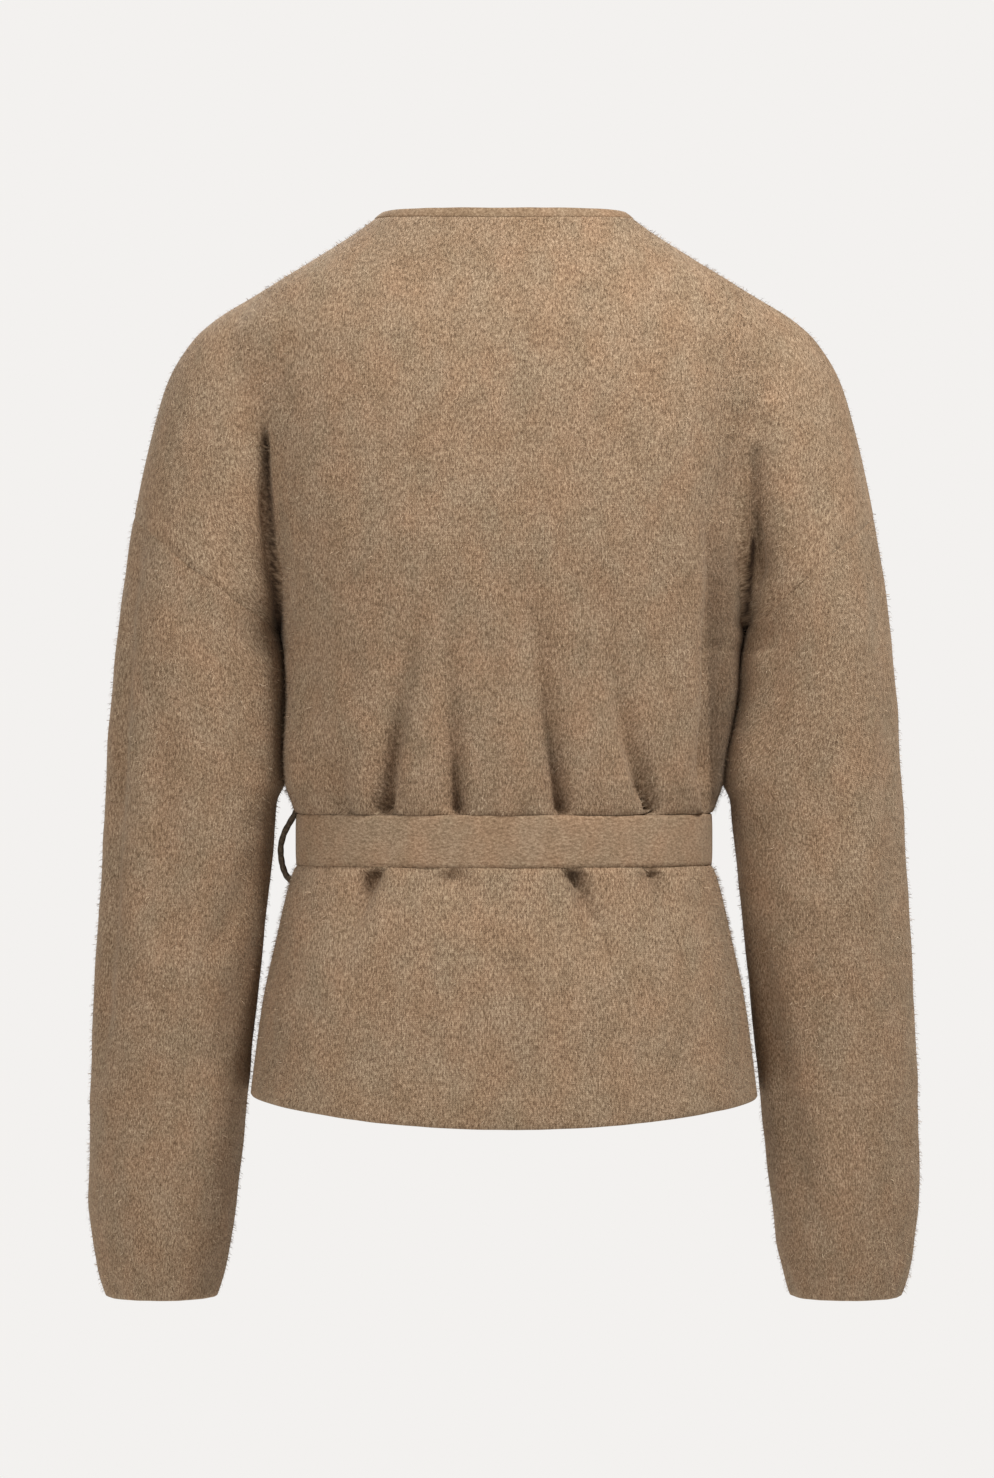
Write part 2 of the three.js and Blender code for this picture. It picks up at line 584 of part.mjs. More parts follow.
// The thread loop on the left side seam that carries the belt
function beltLoop() {
  const thick = 2.2;
  const width = 5;
  const behind = 8;
  const clear = 0.1;
  const seat = z => torso.half(z) + seamGap + clear;
  const path = [
    { out: seat(-371), z: -371 },
    { out: seat(-371) + 2, z: -375 },
    { out: 138.4, z: -385 },
    { out: 140.6, z: -397 },
    { out: 139.8, z: -409 },
    { out: seat(-421) + 2.2, z: -416.5 },
    { out: seat(-423), z: -423 },
  ];
  const line = new THREE.CatmullRomCurve3(path.map(({ out, z }) => new THREE.Vector3(out, 0, z)));
  const steps = 16;
  const sections = [];
  for (let i = 0; i <= steps; i++) {
    const at = line.getPointAt(i / steps);
    const way = line.getTangentAt(i / steps);
    const side = new THREE.Vector3(-way.z, 0, way.x);
    const ends = i === 0 || i === steps;
    const inward = ends ? 0 : -thick / 2;
    const outwardHalf = ends ? thick : thick / 2;
    const corner = (out, y) => at.clone().addScaledVector(side, out).setY(behind + y);
    sections.push([
      corner(inward, -width / 2), corner(inward, width / 2),
      corner(outwardHalf, width / 2), corner(outwardHalf, -width / 2),
    ]);
  }
  return strip('belt_loop', beltKnit, sections);
}

const cardigan = new THREE.Group();
cardigan.add(
  clothWall('back', knit, backRows, wall),
  clothWall('front_right', knit, rightRows, wall),
  clothWall('front_left', knit, leftRows, wall),
  sleeve('sleeve_left', 1),
  sleeve('sleeve_right', -1),
  neckBand(),
  belt(),
  beltKnot(),
  ...tails.map(beltTail),
  beltLoop(),
);

export default cardigan;
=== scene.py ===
import math
import bpy
import numpy as np
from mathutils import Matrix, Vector


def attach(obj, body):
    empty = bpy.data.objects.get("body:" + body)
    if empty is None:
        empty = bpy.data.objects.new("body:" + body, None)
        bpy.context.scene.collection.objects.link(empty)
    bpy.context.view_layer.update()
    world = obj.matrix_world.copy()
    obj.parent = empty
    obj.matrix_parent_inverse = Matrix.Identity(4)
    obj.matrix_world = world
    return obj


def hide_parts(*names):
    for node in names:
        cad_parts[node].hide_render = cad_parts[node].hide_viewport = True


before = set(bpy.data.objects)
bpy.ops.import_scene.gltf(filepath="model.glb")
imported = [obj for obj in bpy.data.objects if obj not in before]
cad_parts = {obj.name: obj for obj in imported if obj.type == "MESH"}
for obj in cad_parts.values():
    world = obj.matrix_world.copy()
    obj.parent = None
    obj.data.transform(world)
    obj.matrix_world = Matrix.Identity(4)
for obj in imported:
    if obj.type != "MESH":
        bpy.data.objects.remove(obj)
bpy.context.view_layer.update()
print("stage: frame loaded")

# A wrap cardigan of brushed knit, in the shape it has when worn, seen from the back.
# The tables and the shape functions work in millimetres; a mesh gets its points in metres.
metre = 0.001
tiny = 1e-9
random = np.random.default_rng(20)


def clamp01(value):
    return np.clip(value, 0.0, 1.0)


def smooth(value):
    share = clamp01(value)
    return share * share * (3 - 2 * share)


def mix(a, b, share):
    return a + (b - a) * share


def bell(offset, spread):
    return np.exp(-(offset / spread) ** 2)


def unit(vectors):
    return vectors / np.maximum(np.linalg.norm(vectors, axis=-1, keepdims=True), tiny)


# How far along a line each of its points lies
def runOf(points):
    return np.concatenate([[0], np.cumsum(np.linalg.norm(np.diff(points, axis=0), axis=1))])


def sampled(values, run, at):
    return np.stack([np.interp(at, run, values[:, axis]) for axis in range(values.shape[1])], axis=1)


# Each column of a table becomes a smooth curve over the height, with no overshoot between rows.
def curvesOf(names, table):
    ordered = np.array(table, dtype=float)[::-1]
    heights = ordered[:, 0]
    curves = {}
    for number, name in enumerate(names):
        value = ordered[:, number + 1]
        slope = np.diff(value) / np.diff(heights)
        tangent = np.zeros(len(heights))
        tangent[0], tangent[-1] = slope[0], slope[-1]
        product = slope[:-1] * slope[1:]
        total = slope[:-1] + slope[1:]
        same = product > 0
        tangent[1:-1][same] = 2 * product[same] / total[same]
        curves[name] = curveThrough(heights, value, tangent)
    return curves


def curveThrough(heights, value, tangent):
    def at(height):
        i = np.clip(np.searchsorted(heights, height) - 1, 0, len(heights) - 2)
        span = heights[i + 1] - heights[i]
        t = clamp01((height - heights[i]) / span)
        ease = tangent[i] * t * (1 - t) ** 2 - tangent[i + 1] * t * t * (1 - t)
        return mix(value[i], value[i + 1], t * t * (3 - 2 * t)) + ease * span
    return at


sizes = {
    "neckTop": -4.4, "frontTop": -6, "armholeTop": -192, "underarm": -264,
    "beltTop": -378, "beltBottom": -410, "hem": -554,
    "backNeckDrop": 4.2, "backHemDrop": 13, "frontHemDrop": 8, "hemTilt": 0.9, "lapDrop": 5.2,
    "bandWidth": 7, "inset": 0.5, "thick": 1.9,
}
neckTop, hem, underarm = sizes["neckTop"], sizes["hem"], sizes["underarm"]
beltTop, beltBottom = sizes["beltTop"], sizes["beltBottom"]
beltMiddle = (beltTop + beltBottom) / 2

# height, half width, depth behind, depth before, squareness
torso = curvesOf(("half", "back", "front", "square"), (
    (0, 77, 54, 46.5, 2.0),
    (-10, 90, 58.8, 51, 2.0),
    (-29, 119.4, 69, 60, 2.05),
    (-54, 157, 81, 72, 2.1),
    (-80, 176, 91, 84, 2.2),
    (-130, 167, 101, 103, 2.35),
    (-200, 153, 105, 117, 2.4),
    (-264, 144.2, 99.3, 110.5, 2.35),
    (-281, 140.8, 97.2, 107.2, 2.35),
    (-292, 140.2, 96, 105, 2.35),
    (-335, 138.8, 92.5, 98, 2.3),
    (-357, 137.2, 90, 94.4, 2.3),
    (-372, 133.4, 87, 91, 2.28),
    (-377.2, 131.4, 85.6, 89.6, 2.25),
    (-379.5, 127.5, 81.4, 85.4, 2.25),
    (-408.5, 127.5, 81.4, 85.4, 2.25),
    (-410.8, 131.4, 85.6, 89.4, 2.25),
    (-420, 135, 88.6, 92, 2.3),
    (-457, 143.8, 100, 101, 2.3),
    (-495, 152, 107, 107, 2.3),
    (-527, 156.5, 110.8, 110.3, 2.3),
    (-555, 160, 114, 113, 2.3),
))

# height, reach outwards, half width, half depth, how far forward, width of the melt into the body
arm = curvesOf(("outer", "wide", "deep", "forward", "melt"), (
    (0, 77, 8, 6, 0, 4),
    (-10, 90, 10, 8, 0, 6),
    (-29, 119.4, 14, 12, 0, 10),
    (-54, 160.5, 34, 30, 0, 20),
    (-67, 181.5, 44, 40, 0, 24),
    (-80, 196, 51, 47, 0, 26),
    (-105, 211.5, 56, 54, 0, 24),
    (-130, 219.5, 58, 58, 0, 20),
    (-180, 231, 58, 60, 0, 13),
    (-230, 239.5, 53.6, 60, 0, 7),
    (-264, 243.6, 49.7, 58.5, 0, 2),
    (-281, 245.4, 51.6, 57.6, 0.5, 2),
    (-292, 246.5, 52.5, 57, 1, 2),
    (-320, 248.8, 54.2, 55.5, 2, 2),
    (-344, 250.5, 55.9, 54, 3, 2),
    (-357, 251.3, 56.3, 53.5, 3.5, 2),
    (-369, 252, 54.8, 53, 4, 2),
    (-407, 254, 54, 52, 6, 2),
    (-470, 258.2, 52.7, 50, 10, 2),
    (-495, 259.6, 52.2, 49, 12, 2),
    (-527, 261.4, 51.2, 47.5, 14, 2),
    (-558, 262.4, 50.2, 46, 16, 2),
    (-621, 263.5, 47.3, 43, 20, 2),
    (-649, 261, 44.3, 40, 22, 2),
    (-668, 258, 40.6, 36.5, 23, 2),
    (-678, 255.2, 37.8, 34, 23.5, 2),
    (-683.5, 253.2, 35.9, 32.3, 23.5, 2),
))

# height, place across of a front's edge; below the crossing it is past the middle
edgeAcross = curvesOf(("across",), (
    (0, 83), (-6, 82), (-12, 80), (-25, 76), (-50, 69.5), (-100, 58), (-160, 41), (-250, 7),
    (-300, -24), (-340, -50), (-378, -66), (-410, -69), (-470, -75), (-555, -80),
))["across"]

# Troughs and creases of the body: face, place across and height where it starts, the same where it
# ends, half width towards the left and towards the right, depth, share of the depth at the end
bodyFolds = (
    ("back", 103, -372, 102, -330, 7, 7, 3.5, 0),
    ("back", 73, -372, 61, -282, 8, 8, 7, 0),
    ("back", 30, -372, 30, -305, 8, 8, 5, 0),
    ("back", -34, -372, -14, -245, 9, 9, 6, 0),
    ("back", -91, -372, -66, -284, 8, 8, 6, 0),
    ("back", 85, -416, 103, -462, 8, 8, 5, 0),
    ("back", 33, -416, 34, -442, 8, 8, 3, 0),
    ("back", -43, -416, -62, -476, 9, 9, 5, 0),
    ("back", -88, -416, -92, -440, 7, 7, 3, 0),
    ("back", 150, -225, 149, -145, 7, 6, 3.5, 0.5),
    ("back", -152, -225, -154, -140, 10, 6, 4.5, 0.5),
    ("back", -130, -348, -130, -190, 8, 9, 8, 0.3),
    ("front", 150, -240, 148, -140, 9, 9, 9, 0.4),
    ("front", -150, -240, -148, -140, 9, 9, 9, 0.4),
    ("front", 96, -372, 92, -310, 10, 10, 5, 0),
    ("front", 34, -372, 58, -250, 13, 13, 4.5, 0),
    ("front", -18, -372, -52, -240, 13, 13, 4.5, 0),
    ("front", -84, -372, -100, -290, 12, 12, 4.5, 0),
    ("front", 60, -416, 84, -490, 12, 12, 4, 0),
    ("front", -36, -416, -64, -480, 12, 12, 4, 0),
    ("front", -96, -416, -110, -465, 10, 10, 4, 0),
)

# The sharper creases that lie in those troughs
bodyCreases = (
    ("back", 148.6, -150, 143.5, -264, 2.2, 1.7, 9, 0.05),
    ("back", -154, -195, -145.5, -264, 1.7, 2.2, 5, 0.1),
    ("back", -126, -366, -127, -215, 2.6, 8, 10, 0.3),
    ("back", 100, -378, 109, -330, 3.6, 4.2, 6, 0),
    ("back", 76, -378, 57, -264, 4.4, 3.4, 14, 0.16),
    ("back", 28.5, -378, 36, -274, 3.4, 4.2, 10, 0.2),
    ("back", -37, -378, -15, -246, 5, 4, 11.5, 0.16),
    ("back", -93, -378, -84, -330, 2.4, 3.4, 9, 0),
    ("back", -85, -360, -58, -250, 5.5, 5, 7.5, 0.25),
    ("back", 80, -410, 101, -462, 4, 4.2, 12, 0),
    ("back", 31, -410, 32, -430, 11, 9, 6, 0),
    ("back", -43, -410, -65, -482, 4, 5, 10.5, 0),
    ("back", -92, -410, -103, -444, 4, 4.6, 8, 0),
)

# Painted shade: where the cloth lies in on itself and little light reaches it, its colour is darkened.
# Listed like the troughs, with a share of painted shade for a depth
paintedShadePlaces = (
    ("back", 147.2, -148, 139.6, -266, 2.8, 1.6, 0.96, 0.98),
    ("back", -154, -152, -154.5, -222, 1.5, 9, 0.46, 0.6),
    ("back", -154.4, -210, -151, -268, 1.1, 1.8, 0.9, 1),
    ("back", -130.5, -366, -127, -225, 1.8, 13, 0.6, 0.5),
    ("back", 76, -374, 60, -300, 4, 3.6, 0.55, 0),
    ("back", 28.5, -374, 34, -300, 3, 4, 0.45, 0),
    ("back", -37, -374, -22, -290, 4, 4, 0.45, 0),
    ("back", -93, -374, -84, -330, 2.4, 3.2, 0.4, 0),
    ("back", 80, -413, 92, -440, 3.4, 4, 0.45, 0),
    ("back", -43, -413, -54, -446, 4, 4.4, 0.4, 0),
    ("back", -92, -413, -98, -440, 4, 4.4, 0.35, 0),
)

# Troughs of the sleeves: side, place round the arm in degrees and height where it starts, the same
# where it ends, half width in degrees, depth. Round is 0 outside, 90 behind, 180 at the body.
sleeveFolds = (
    (1, 32, -215, 34, -560, 9, 6.5),
    (1, 66, -300, 84, -470, 15, 3.5),
    (1, 150, -395, 118, -470, 14, 4),
    (1, 150, -452, 128, -560, 13, 3),
    (1, 262, -330, 226, -420, 16, 4.5),
    (1, 290, -380, 240, -450, 16, 3.5),
    (-1, 30, -235, 38, -480, 13, 2.5),
    (-1, 152, -440, 122, -640, 13, 5),
    (-1, 84, -330, 96, -430, 15, 2.5),
    (-1, 258, -330, 222, -430, 16, 4.5),
    (-1, 292, -392, 244, -470, 16, 3.5),
)


# Depth of the body's outer face: the trunk and the arm, melted together where they meet
def bodyDepth(x, z, face):
    steep, meltReach, leastMelt = 3, 30, 0.01
    across = np.abs(x)
    outer = arm["outer"](z)
    wide = arm["wide"](z)
    half = np.where(z > underarm, np.minimum(torso["half"](z), outer), torso["half"](z))
    square = torso["square"](z)
    share = clamp01(across / half)
    trunk = np.where(
        across < half,
        torso[face](z) * (1 - share ** square) ** (1 / square),
        steep * (half - across),
    )
    place = (across - (outer - wide)) / wide
    limb = np.where(
        np.abs(place) < 1,
        arm["deep"](z) * np.sqrt(np.maximum(1 - place * place, 0)),
        steep * wide * (1 - np.abs(place)),
    )
    width = arm["melt"](z) * clamp01((outer - across) / meltReach)
    near = np.maximum(width - np.abs(trunk - limb), 0) / np.maximum(width, leastMelt)
    melted = np.maximum(trunk, limb) + near * near * width / 4
    return np.maximum(np.where(z <= underarm, trunk, melted), 0)


armholeInner = float(arm["outer"](underarm) - 2 * arm["wide"](underarm))
armholeOuter = float(arm["outer"](sizes["armholeTop"]))
armholeTurn = math.atan2(armholeOuter - armholeInner, sizes["armholeTop"] - underarm)


# A row of the knit is level over the body and bends down round the underarm past it
def rowPlace(level, out):
    high = level - underarm
    if high <= 0:
        return out, np.full_like(out, level)
    turn = np.maximum(np.abs(out) - armholeInner, 0) / high
    bent = np.abs(out) > armholeInner
    x = np.where(bent, np.sign(out) * (armholeInner + high * np.sin(turn)), out)
    z = np.where(bent, underarm + high * np.cos(turn), level)
    return x, z


# How far out a row reaches: to the side seam, the armhole seam or the shoulder
def rowEnd(level):
    high = level - underarm
    if high <= 0:
        return float(torso["half"](level))
    if arm["outer"](level) <= armholeInner:
        return float(arm["outer"](level))
    low, far = armholeInner, armholeInner + high * armholeTurn

    def beyond(out):
        x, z = rowPlace(level, np.array([out]))
        return x[0] > arm["outer"](z)[0]
    if not beyond(far):
        return far
    halvings = 30
    for step in range(halvings):
        half = (low + far) / 2
        low, far = (low, half) if beyond(half) else (half, far)
    return low


def foldDepth(table, x, z, face, fromSeam):
    edgeFade, startSteep, endSteep, beltFade, widen = 6, 8, 4, 2.5, 0.7
    total = np.zeros_like(x)
    for foldFace, across, start, toAcross, end, leftSpread, rightSpread, depth, keep in table:
        if foldFace != face:
            continue
        way = (z - start) / (end - start)
        along = smooth(1 + way * startSteep) * (1 - (1 - keep) * clamp01(way))
        along = along * (1 - smooth((way - 1) * endSteep))
        offset = x - mix(across, toAcross, clamp01(way))
        spread = np.where(offset > 0, leftSpread, rightSpread) * (1 + widen * clamp01(way))
        total += depth * along * bell(offset, spread)
    clearOfBelt = smooth((z - beltTop) / beltFade) + smooth((beltBottom - z) / beltFade)
    return total * clearOfBelt * clamp01(fromSeam / edgeFade)


# How much painted shade each point of the back gets, from the table of painted shade
def paintedShadeShare(points):
    farFromSeam = 100
    return clamp01(foldDepth(paintedShadePlaces, points[..., 0], points[..., 2], "back", farFromSeam))


# Small waves of the cloth, about half a millimetre: length across, length down, height
def ripple(u, v, phase):
    waves = ((31, 74, 0.22), (-47, 58, 0.2), (22, 39, 0.13), (-17, 46, 0.12), (68, 160, 0.3))
    phaseStep = 1.7
    total = np.zeros_like(u)
    for number, (across, down, height) in enumerate(waves):
        total += height * np.sin(2 * math.pi * (u / across + v / down) + phase + phaseStep * number)
    return total


# The inner front is pressed in where the outer one lies over it
def lapPress(x, z):
    pastBand, acrossFade, top, topFade = 8, 30, -200, 30
    clearEdge = -edgeAcross(z) + sizes["bandWidth"] + pastBand
    covered = 1 - smooth((x - clearEdge) / acrossFade)
    return sizes["lapDrop"] * covered * smooth((top - z) / topFade)


# Where the sleeve rests against the body, below the underarm
def nearSleeve(z):
    above, topFade, bottom, bottomFade = 2, 6, -374, 16
    return smooth((underarm + above - z) / topFade) * smooth((z - bottom) / bottomFade)


# How far the line between the body and a sleeve wanders from the mirrored shape: a little towards
# the middle on the left, further out on the right
def wander(points):
    top, topFade, bottom, bottomFade = -180, 50, -352, 55
    # Each pull's place across, its shift and its spread
    pulls = ((143, -3.5, 30), (-146, -7, 32))
    x, z = points[..., 0], points[..., 2]
    high = smooth((top - z) / topFade) * smooth((z - bottom) / bottomFade)
    pulled = sum(shift * bell(x - across, spread) for across, shift, spread in pulls)
    moved = points.copy()
    moved[..., 0] += pulled * high
    return moved


rowShape = {
    "steps": 900, "neckReach": 46, "backPhase": 0.4, "frontPhase": 2.1, "rippleFade": 25,
    "pushFade": 30, "bulge": 3, "bulgeAt": 8, "bulgeSpread": 6, "bulgeLower": 12,
    "dense": 2.4, "denseAt": 142, "denseSpread": 13,
}


# How far a row's outer face lies inside the plain form
def rowInward(x, z, face, fromSeam, press):
    phase = rowShape["backPhase"] if face == "back" else rowShape["frontPhase"]
    inward = foldDepth(bodyFolds, x, z, face, fromSeam) + foldDepth(bodyCreases, x, z, face, fromSeam)
    inward = inward + sizes["inset"]
    inward = inward + ripple(x, z, phase) * clamp01(fromSeam / rowShape["rippleFade"])
    if press:
        inward = inward + lapPress(x, z)
    inward = inward - nearSleeve(z) * (1 - clamp01(fromSeam / rowShape["pushFade"]))
    bulge = bell(fromSeam - rowShape["bulgeAt"], rowShape["bulgeSpread"])
    return inward - rowShape["bulge"] * nearSleeve(z + rowShape["bulgeLower"]) * bulge


# One row of the body's outer face, with its place on the flat cut
def bodyRow(level, face, start, end, columns, press):
    last = rowEnd(level)
    neckFade = smooth((level + rowShape["neckReach"]) / (rowShape["neckReach"] + neckTop))
    hemFade = smooth((beltBottom - level) / (beltBottom - hem))
    if face == "back":
        drop = sizes["backNeckDrop"] * neckFade + sizes["backHemDrop"] * hemFade
    else:
        drop = sizes["frontHemDrop"] * hemFade
    out = mix(start, end, (1 - np.cos(math.pi * np.linspace(0, 1, rowShape["steps"]))) / 2)
    x, z = rowPlace(level, out)
    z = z - drop * (1 - (out / last) ** 2)
    y = bodyDepth(x, z, face) * (1 if face == "back" else -1)
    wayX, wayY = np.gradient(x), np.gradient(y)
    length = np.maximum(np.hypot(wayX, wayY), tiny)
    inward = rowInward(x, z, face, last - np.abs(out), press)
    tilted = z + sizes["hemTilt"] * hemFade * x / last
    points = np.stack([x - wayY / length * inward, y + wayX / length * inward, tilted], axis=1)
    run = runOf(np.stack([x, y], axis=1))
    middle = np.interp(0, -out if start > end else out, run)
    dense = 1 + rowShape["dense"] * bell(np.abs(x) - rowShape["denseAt"], rowShape["denseSpread"])
    reach = np.concatenate([[0], np.cumsum(np.diff(run) * (dense[1:] + dense[:-1]) / 2)])
    at = np.interp(np.linspace(0, reach[-1], columns), reach, run)
    return wander(sampled(points, run, at)), (at - middle) * (1 if end > start else -1)


def normalsOf(grid, wraps):
    down = np.gradient(grid, axis=0)
    if wraps:
        along = np.roll(grid, -1, axis=1) - np.roll(grid, 1, axis=1)
    else:
        along = np.gradient(grid, axis=1)
    return unit(np.cross(down, along))


def meshOf(name, points, faces, material, places, dark=None):
    mesh = bpy.data.meshes.new(name)
    count, corners = faces.shape
    mesh.vertices.add(len(points))
    mesh.vertices.foreach_set("co", (points * metre).astype(np.float32).ravel())
    mesh.loops.add(faces.size)
    mesh.loops.foreach_set("vertex_index", faces.astype(np.int32).ravel())
    mesh.polygons.add(count)
    mesh.polygons.foreach_set("loop_start", np.arange(0, faces.size, corners, dtype=np.int32))
    layer = mesh.uv_layers.new(name="knit")
    layer.data.foreach_set("uv", (places * metre).astype(np.float32).reshape(-1))
    # The share of painted shade per point, kept in the point attribute named dark
    if dark is not None:
        paintedShadeShares = np.zeros(len(points), dtype=np.float32)
        paintedShadeShares[:dark.size] = dark.ravel()
        mesh.attributes.new(name="dark", type="FLOAT", domain="POINT").data.foreach_set("value", paintedShadeShares)
    mesh.update(calc_edges=True)
    mesh.validate()
    mesh.shade_smooth()
    mesh.materials.append(material)
    piece = bpy.data.objects.new(name, mesh)
    bpy.context.collection.objects.link(piece)
    return piece


# The corners of a grid's cells, and their places on the flat cut. places holds the flat-cut place
# of each grid point, one column longer where the grid wraps.
def cellsOf(places, rows, columns, spans):
    i, j = np.meshgrid(np.arange(rows - 1), np.arange(spans), indexing="ij")
    i, j = i.ravel(), j.ravel()
    low, high, after = i * columns, (i + 1) * columns, (j + 1) % columns
    quads = np.stack([low + j, high + j, high + after, low + after], axis=1)
    sides = [places[i, j], places[i + 1, j], places[i + 1, j + 1], places[i, j + 1]]
    return quads, np.stack(sides, axis=1)


# The points round a wall's edges, each with its neighbour further in
def rimsOf(rows, columns, wraps):
    if wraps:
        ring = np.arange(columns + 1)
        low = np.full_like(ring, rows - 1)
        return [
            (np.zeros_like(ring), ring, np.ones_like(ring), ring),
            (low, ring[::-1], low - 1, ring[::-1]),
        ]
    top = [(0, k) for k in range(columns)]
    side = [(k, columns - 1) for k in range(1, rows)]
    bottom = [(rows - 1, k) for k in range(columns - 2, -1, -1)]
    back = [(k, 0) for k in range(rows - 2, -1, -1)]
    around = np.array(top + side + bottom + back)
    inside = np.clip(around, 1, [rows - 2, columns - 2])
    return [(around[:, 0], around[:, 1], inside[:, 0], inside[:, 1])]


# A thin wall with rounded edges: the outer face, the same grid moved in, and a rim between them
# dark holds the painted shade of the outer face's points, if there is any
def clothWall(name, grid, places, thick, material, wraps=False, bulge=0.6, dark=None):
    rows, columns = grid.shape[:2]
    inner = grid - normalsOf(grid, wraps) * thick
    count = rows * columns
    quads, quadPlaces = cellsOf(places, rows, columns, columns if wraps else columns - 1)
    faces = [quads, quads[:, ::-1] + count]
    facePlaces = [quadPlaces, quadPlaces[:, ::-1]]
    points = [grid.reshape(-1, 3), inner.reshape(-1, 3)]
    base = 2 * count
    for a, b, insideA, insideB in rimsOf(rows, columns, wraps):
        turnB, turnInside = b % columns, insideB % columns
        outerId = a * columns + turnB
        away = unit(grid[a, turnB] - grid[insideA, turnInside])
        edge = (grid[a, turnB] + inner[a, turnB]) / 2 + away * bulge * thick
        edge = edge[:-1]
        points.append(edge)
        number = np.arange(len(edge))
        edgeId = base + number
        nextEdge = base + (number + 1) % len(edge)
        faces.append(np.stack([outerId[:-1], outerId[1:], nextEdge, edgeId], axis=1))
        faces.append(np.stack([edgeId, nextEdge, outerId[1:] + count, outerId[:-1] + count], axis=1))
        here, there = places[a[:-1], b[:-1]], places[a[1:], b[1:]]
        facePlaces += [np.stack([here, there, there, here], axis=1)] * 2
        base += len(edge)
    return meshOf(
        name, np.concatenate(points), np.concatenate(faces), material, np.concatenate(facePlaces), dark,
    )


print("stage: shape functions ready")


# Shader maths: a socket with the operators that join it to others
class Wire:
    def __init__(self, graph, socket):
        self.graph = graph
        self.socket = socket

    def __add__(self, other):
        return self.graph.maths("ADD", self, other)

    def __radd__(self, other):
        return self.graph.maths("ADD", other, self)

    def __mul__(self, other):
        return self.graph.maths("MULTIPLY", self, other)

    def __rmul__(self, other):
        return self.graph.maths("MULTIPLY", other, self)


# The nodes of a material or of the world
class Graph:
    def __init__(self, owner):
        owner.use_nodes = True
        self.tree = owner.node_tree
        self.tree.nodes.clear()

    def node(self, kind, inputs=None, output=0, **settings):
        made = self.tree.nodes.new(kind)
        for key, value in settings.items():
            setattr(made, key, value)
        for key, value in (inputs or {}).items():
            if isinstance(value, Wire):
                self.tree.links.new(value.socket, made.inputs[key])
            else:
                made.inputs[key].default_value = value
        return Wire(self, made.outputs[output]) if made.outputs else made

    def maths(self, operation, a, b=0.0):
        return self.node("ShaderNodeMath", {0: a, 1: b}, operation=operation)

    def colour(self, share, a, b, blend="MIX"):
        return self.node(
            "ShaderNodeMix", {0: share, 6: a, 7: b}, output=2, data_type="RGBA", blend_type=blend,
        )

    def noise(self, place, scale, detail, rough, seed):
        shift = (seed, seed * 1.3, seed * 0.7)
        inputs = {0: place, 1: scale, 2: shift}
        moved = self.node("ShaderNodeVectorMath", inputs, operation="MULTIPLY_ADD")
        return self.node("ShaderNodeTexNoise", {
            "Vector": moved, "Scale": 1.0, "Detail": detail, "Roughness": rough,
        })

    def stretch(self, value, low, high):
        return self.node("ShaderNodeMapRange", {0: value, 1: low, 2: high, 3: 0.0, 4: 1.0}, clamp=True)


def linear(red, green, blue):
    parts = []
    for value in (red, green, blue):
        part = value / 255
        parts.append(part / 12.92 if part <= 0.04045 else ((part + 0.055) / 1.055) ** 2.4)
    return (*parts, 1.0)


# Brushed melange knit. Streaks run along the wales, fibres cross them, and the cloth clouds slowly.
knitNoise = {
    "streak": {"detail": 3.0, "rough": 0.6, "seed": 3.1},
    "fibre": {"detail": 3.0, "rough": 0.65, "seed": 7.7},
    "cloud": {"detail": 3.0, "rough": 0.55, "seed": 1.3},
    "warm": {"detail": 2.0, "rough": 0.5, "seed": 12.9},
}


def knitMaterial(name, settings):
    material = bpy.data.materials.new(name)
    graph = Graph(material)
    place = graph.node("ShaderNodeUVMap", uv_map="knit")
    streak, fibre, cloud, warm = (
        graph.noise(place, settings[kind], **noise) for kind, noise in knitNoise.items()
    )
    tone = streak * settings["streakShare"] + fibre * settings["fibreShare"]
    lifted = graph.stretch(tone, 0.5 - settings["contrast"], 0.5 + settings["contrast"])
    lowHalf = graph.colour(graph.stretch(lifted, 0.0, 0.5), settings["dark"], settings["mid"])
    yarn = graph.colour(graph.stretch(lifted, 0.5, 1.0), lowHalf, settings["light"])
    warmShare = graph.stretch(warm, *settings["warmRange"]) * settings["warmShare"]
    warmed = graph.colour(warmShare, yarn, settings["warmTint"], "MULTIPLY")
    cloudShare = graph.stretch(cloud, *settings["cloudRange"]) * settings["cloudShare"]
    clouded = graph.colour(cloudShare, warmed, settings["cloudTint"], "MULTIPLY")
    # Painted shade: the colour is darkened towards a dark brown where the point attribute dark says so,
    # in the slits and creases
    dark = graph.node("ShaderNodeAttribute", output=2, attribute_name="dark")
    shaded = graph.colour(dark, clouded, settings["paintedSlitShadeTint"], "MULTIPLY")
    across = graph.node("ShaderNodeSeparateXYZ", {0: place})
    down = Wire(graph, across.socket.node.outputs[1])
    column = graph.maths("ABSOLUTE", graph.maths("SINE", across * (math.pi / settings["wale"])))
    slanted = down * (2 * math.pi / settings["course"]) + column * settings["slant"]
    stitch = graph.maths("SINE", slanted) * settings["loopRelief"] + column * settings["waleRelief"]
    height = stitch * settings["stitchShare"]
    height = height + streak * settings["streakRelief"] + fibre * settings["fibreRelief"]
    bump = graph.node("ShaderNodeBump", {
        "Strength": settings["bump"], "Distance": settings["relief"], "Height": height,
    })
    surface = graph.node("ShaderNodeBsdfPrincipled", {
        "Base Color": shaded, "Roughness": 0.9, "Normal": bump, "Specular IOR Level": 0.2,
        "Sheen Weight": settings["sheen"], "Sheen Roughness": 0.55, "Sheen Tint": settings["sheenTint"],
    })
    graph.node("ShaderNodeOutputMaterial", {0: surface})
    return material


# Noise repeats per metre, from the width and length of a patch in millimetres
def perMetre(width, length):
    return (1000 / width, 1000 / length, 1.0)


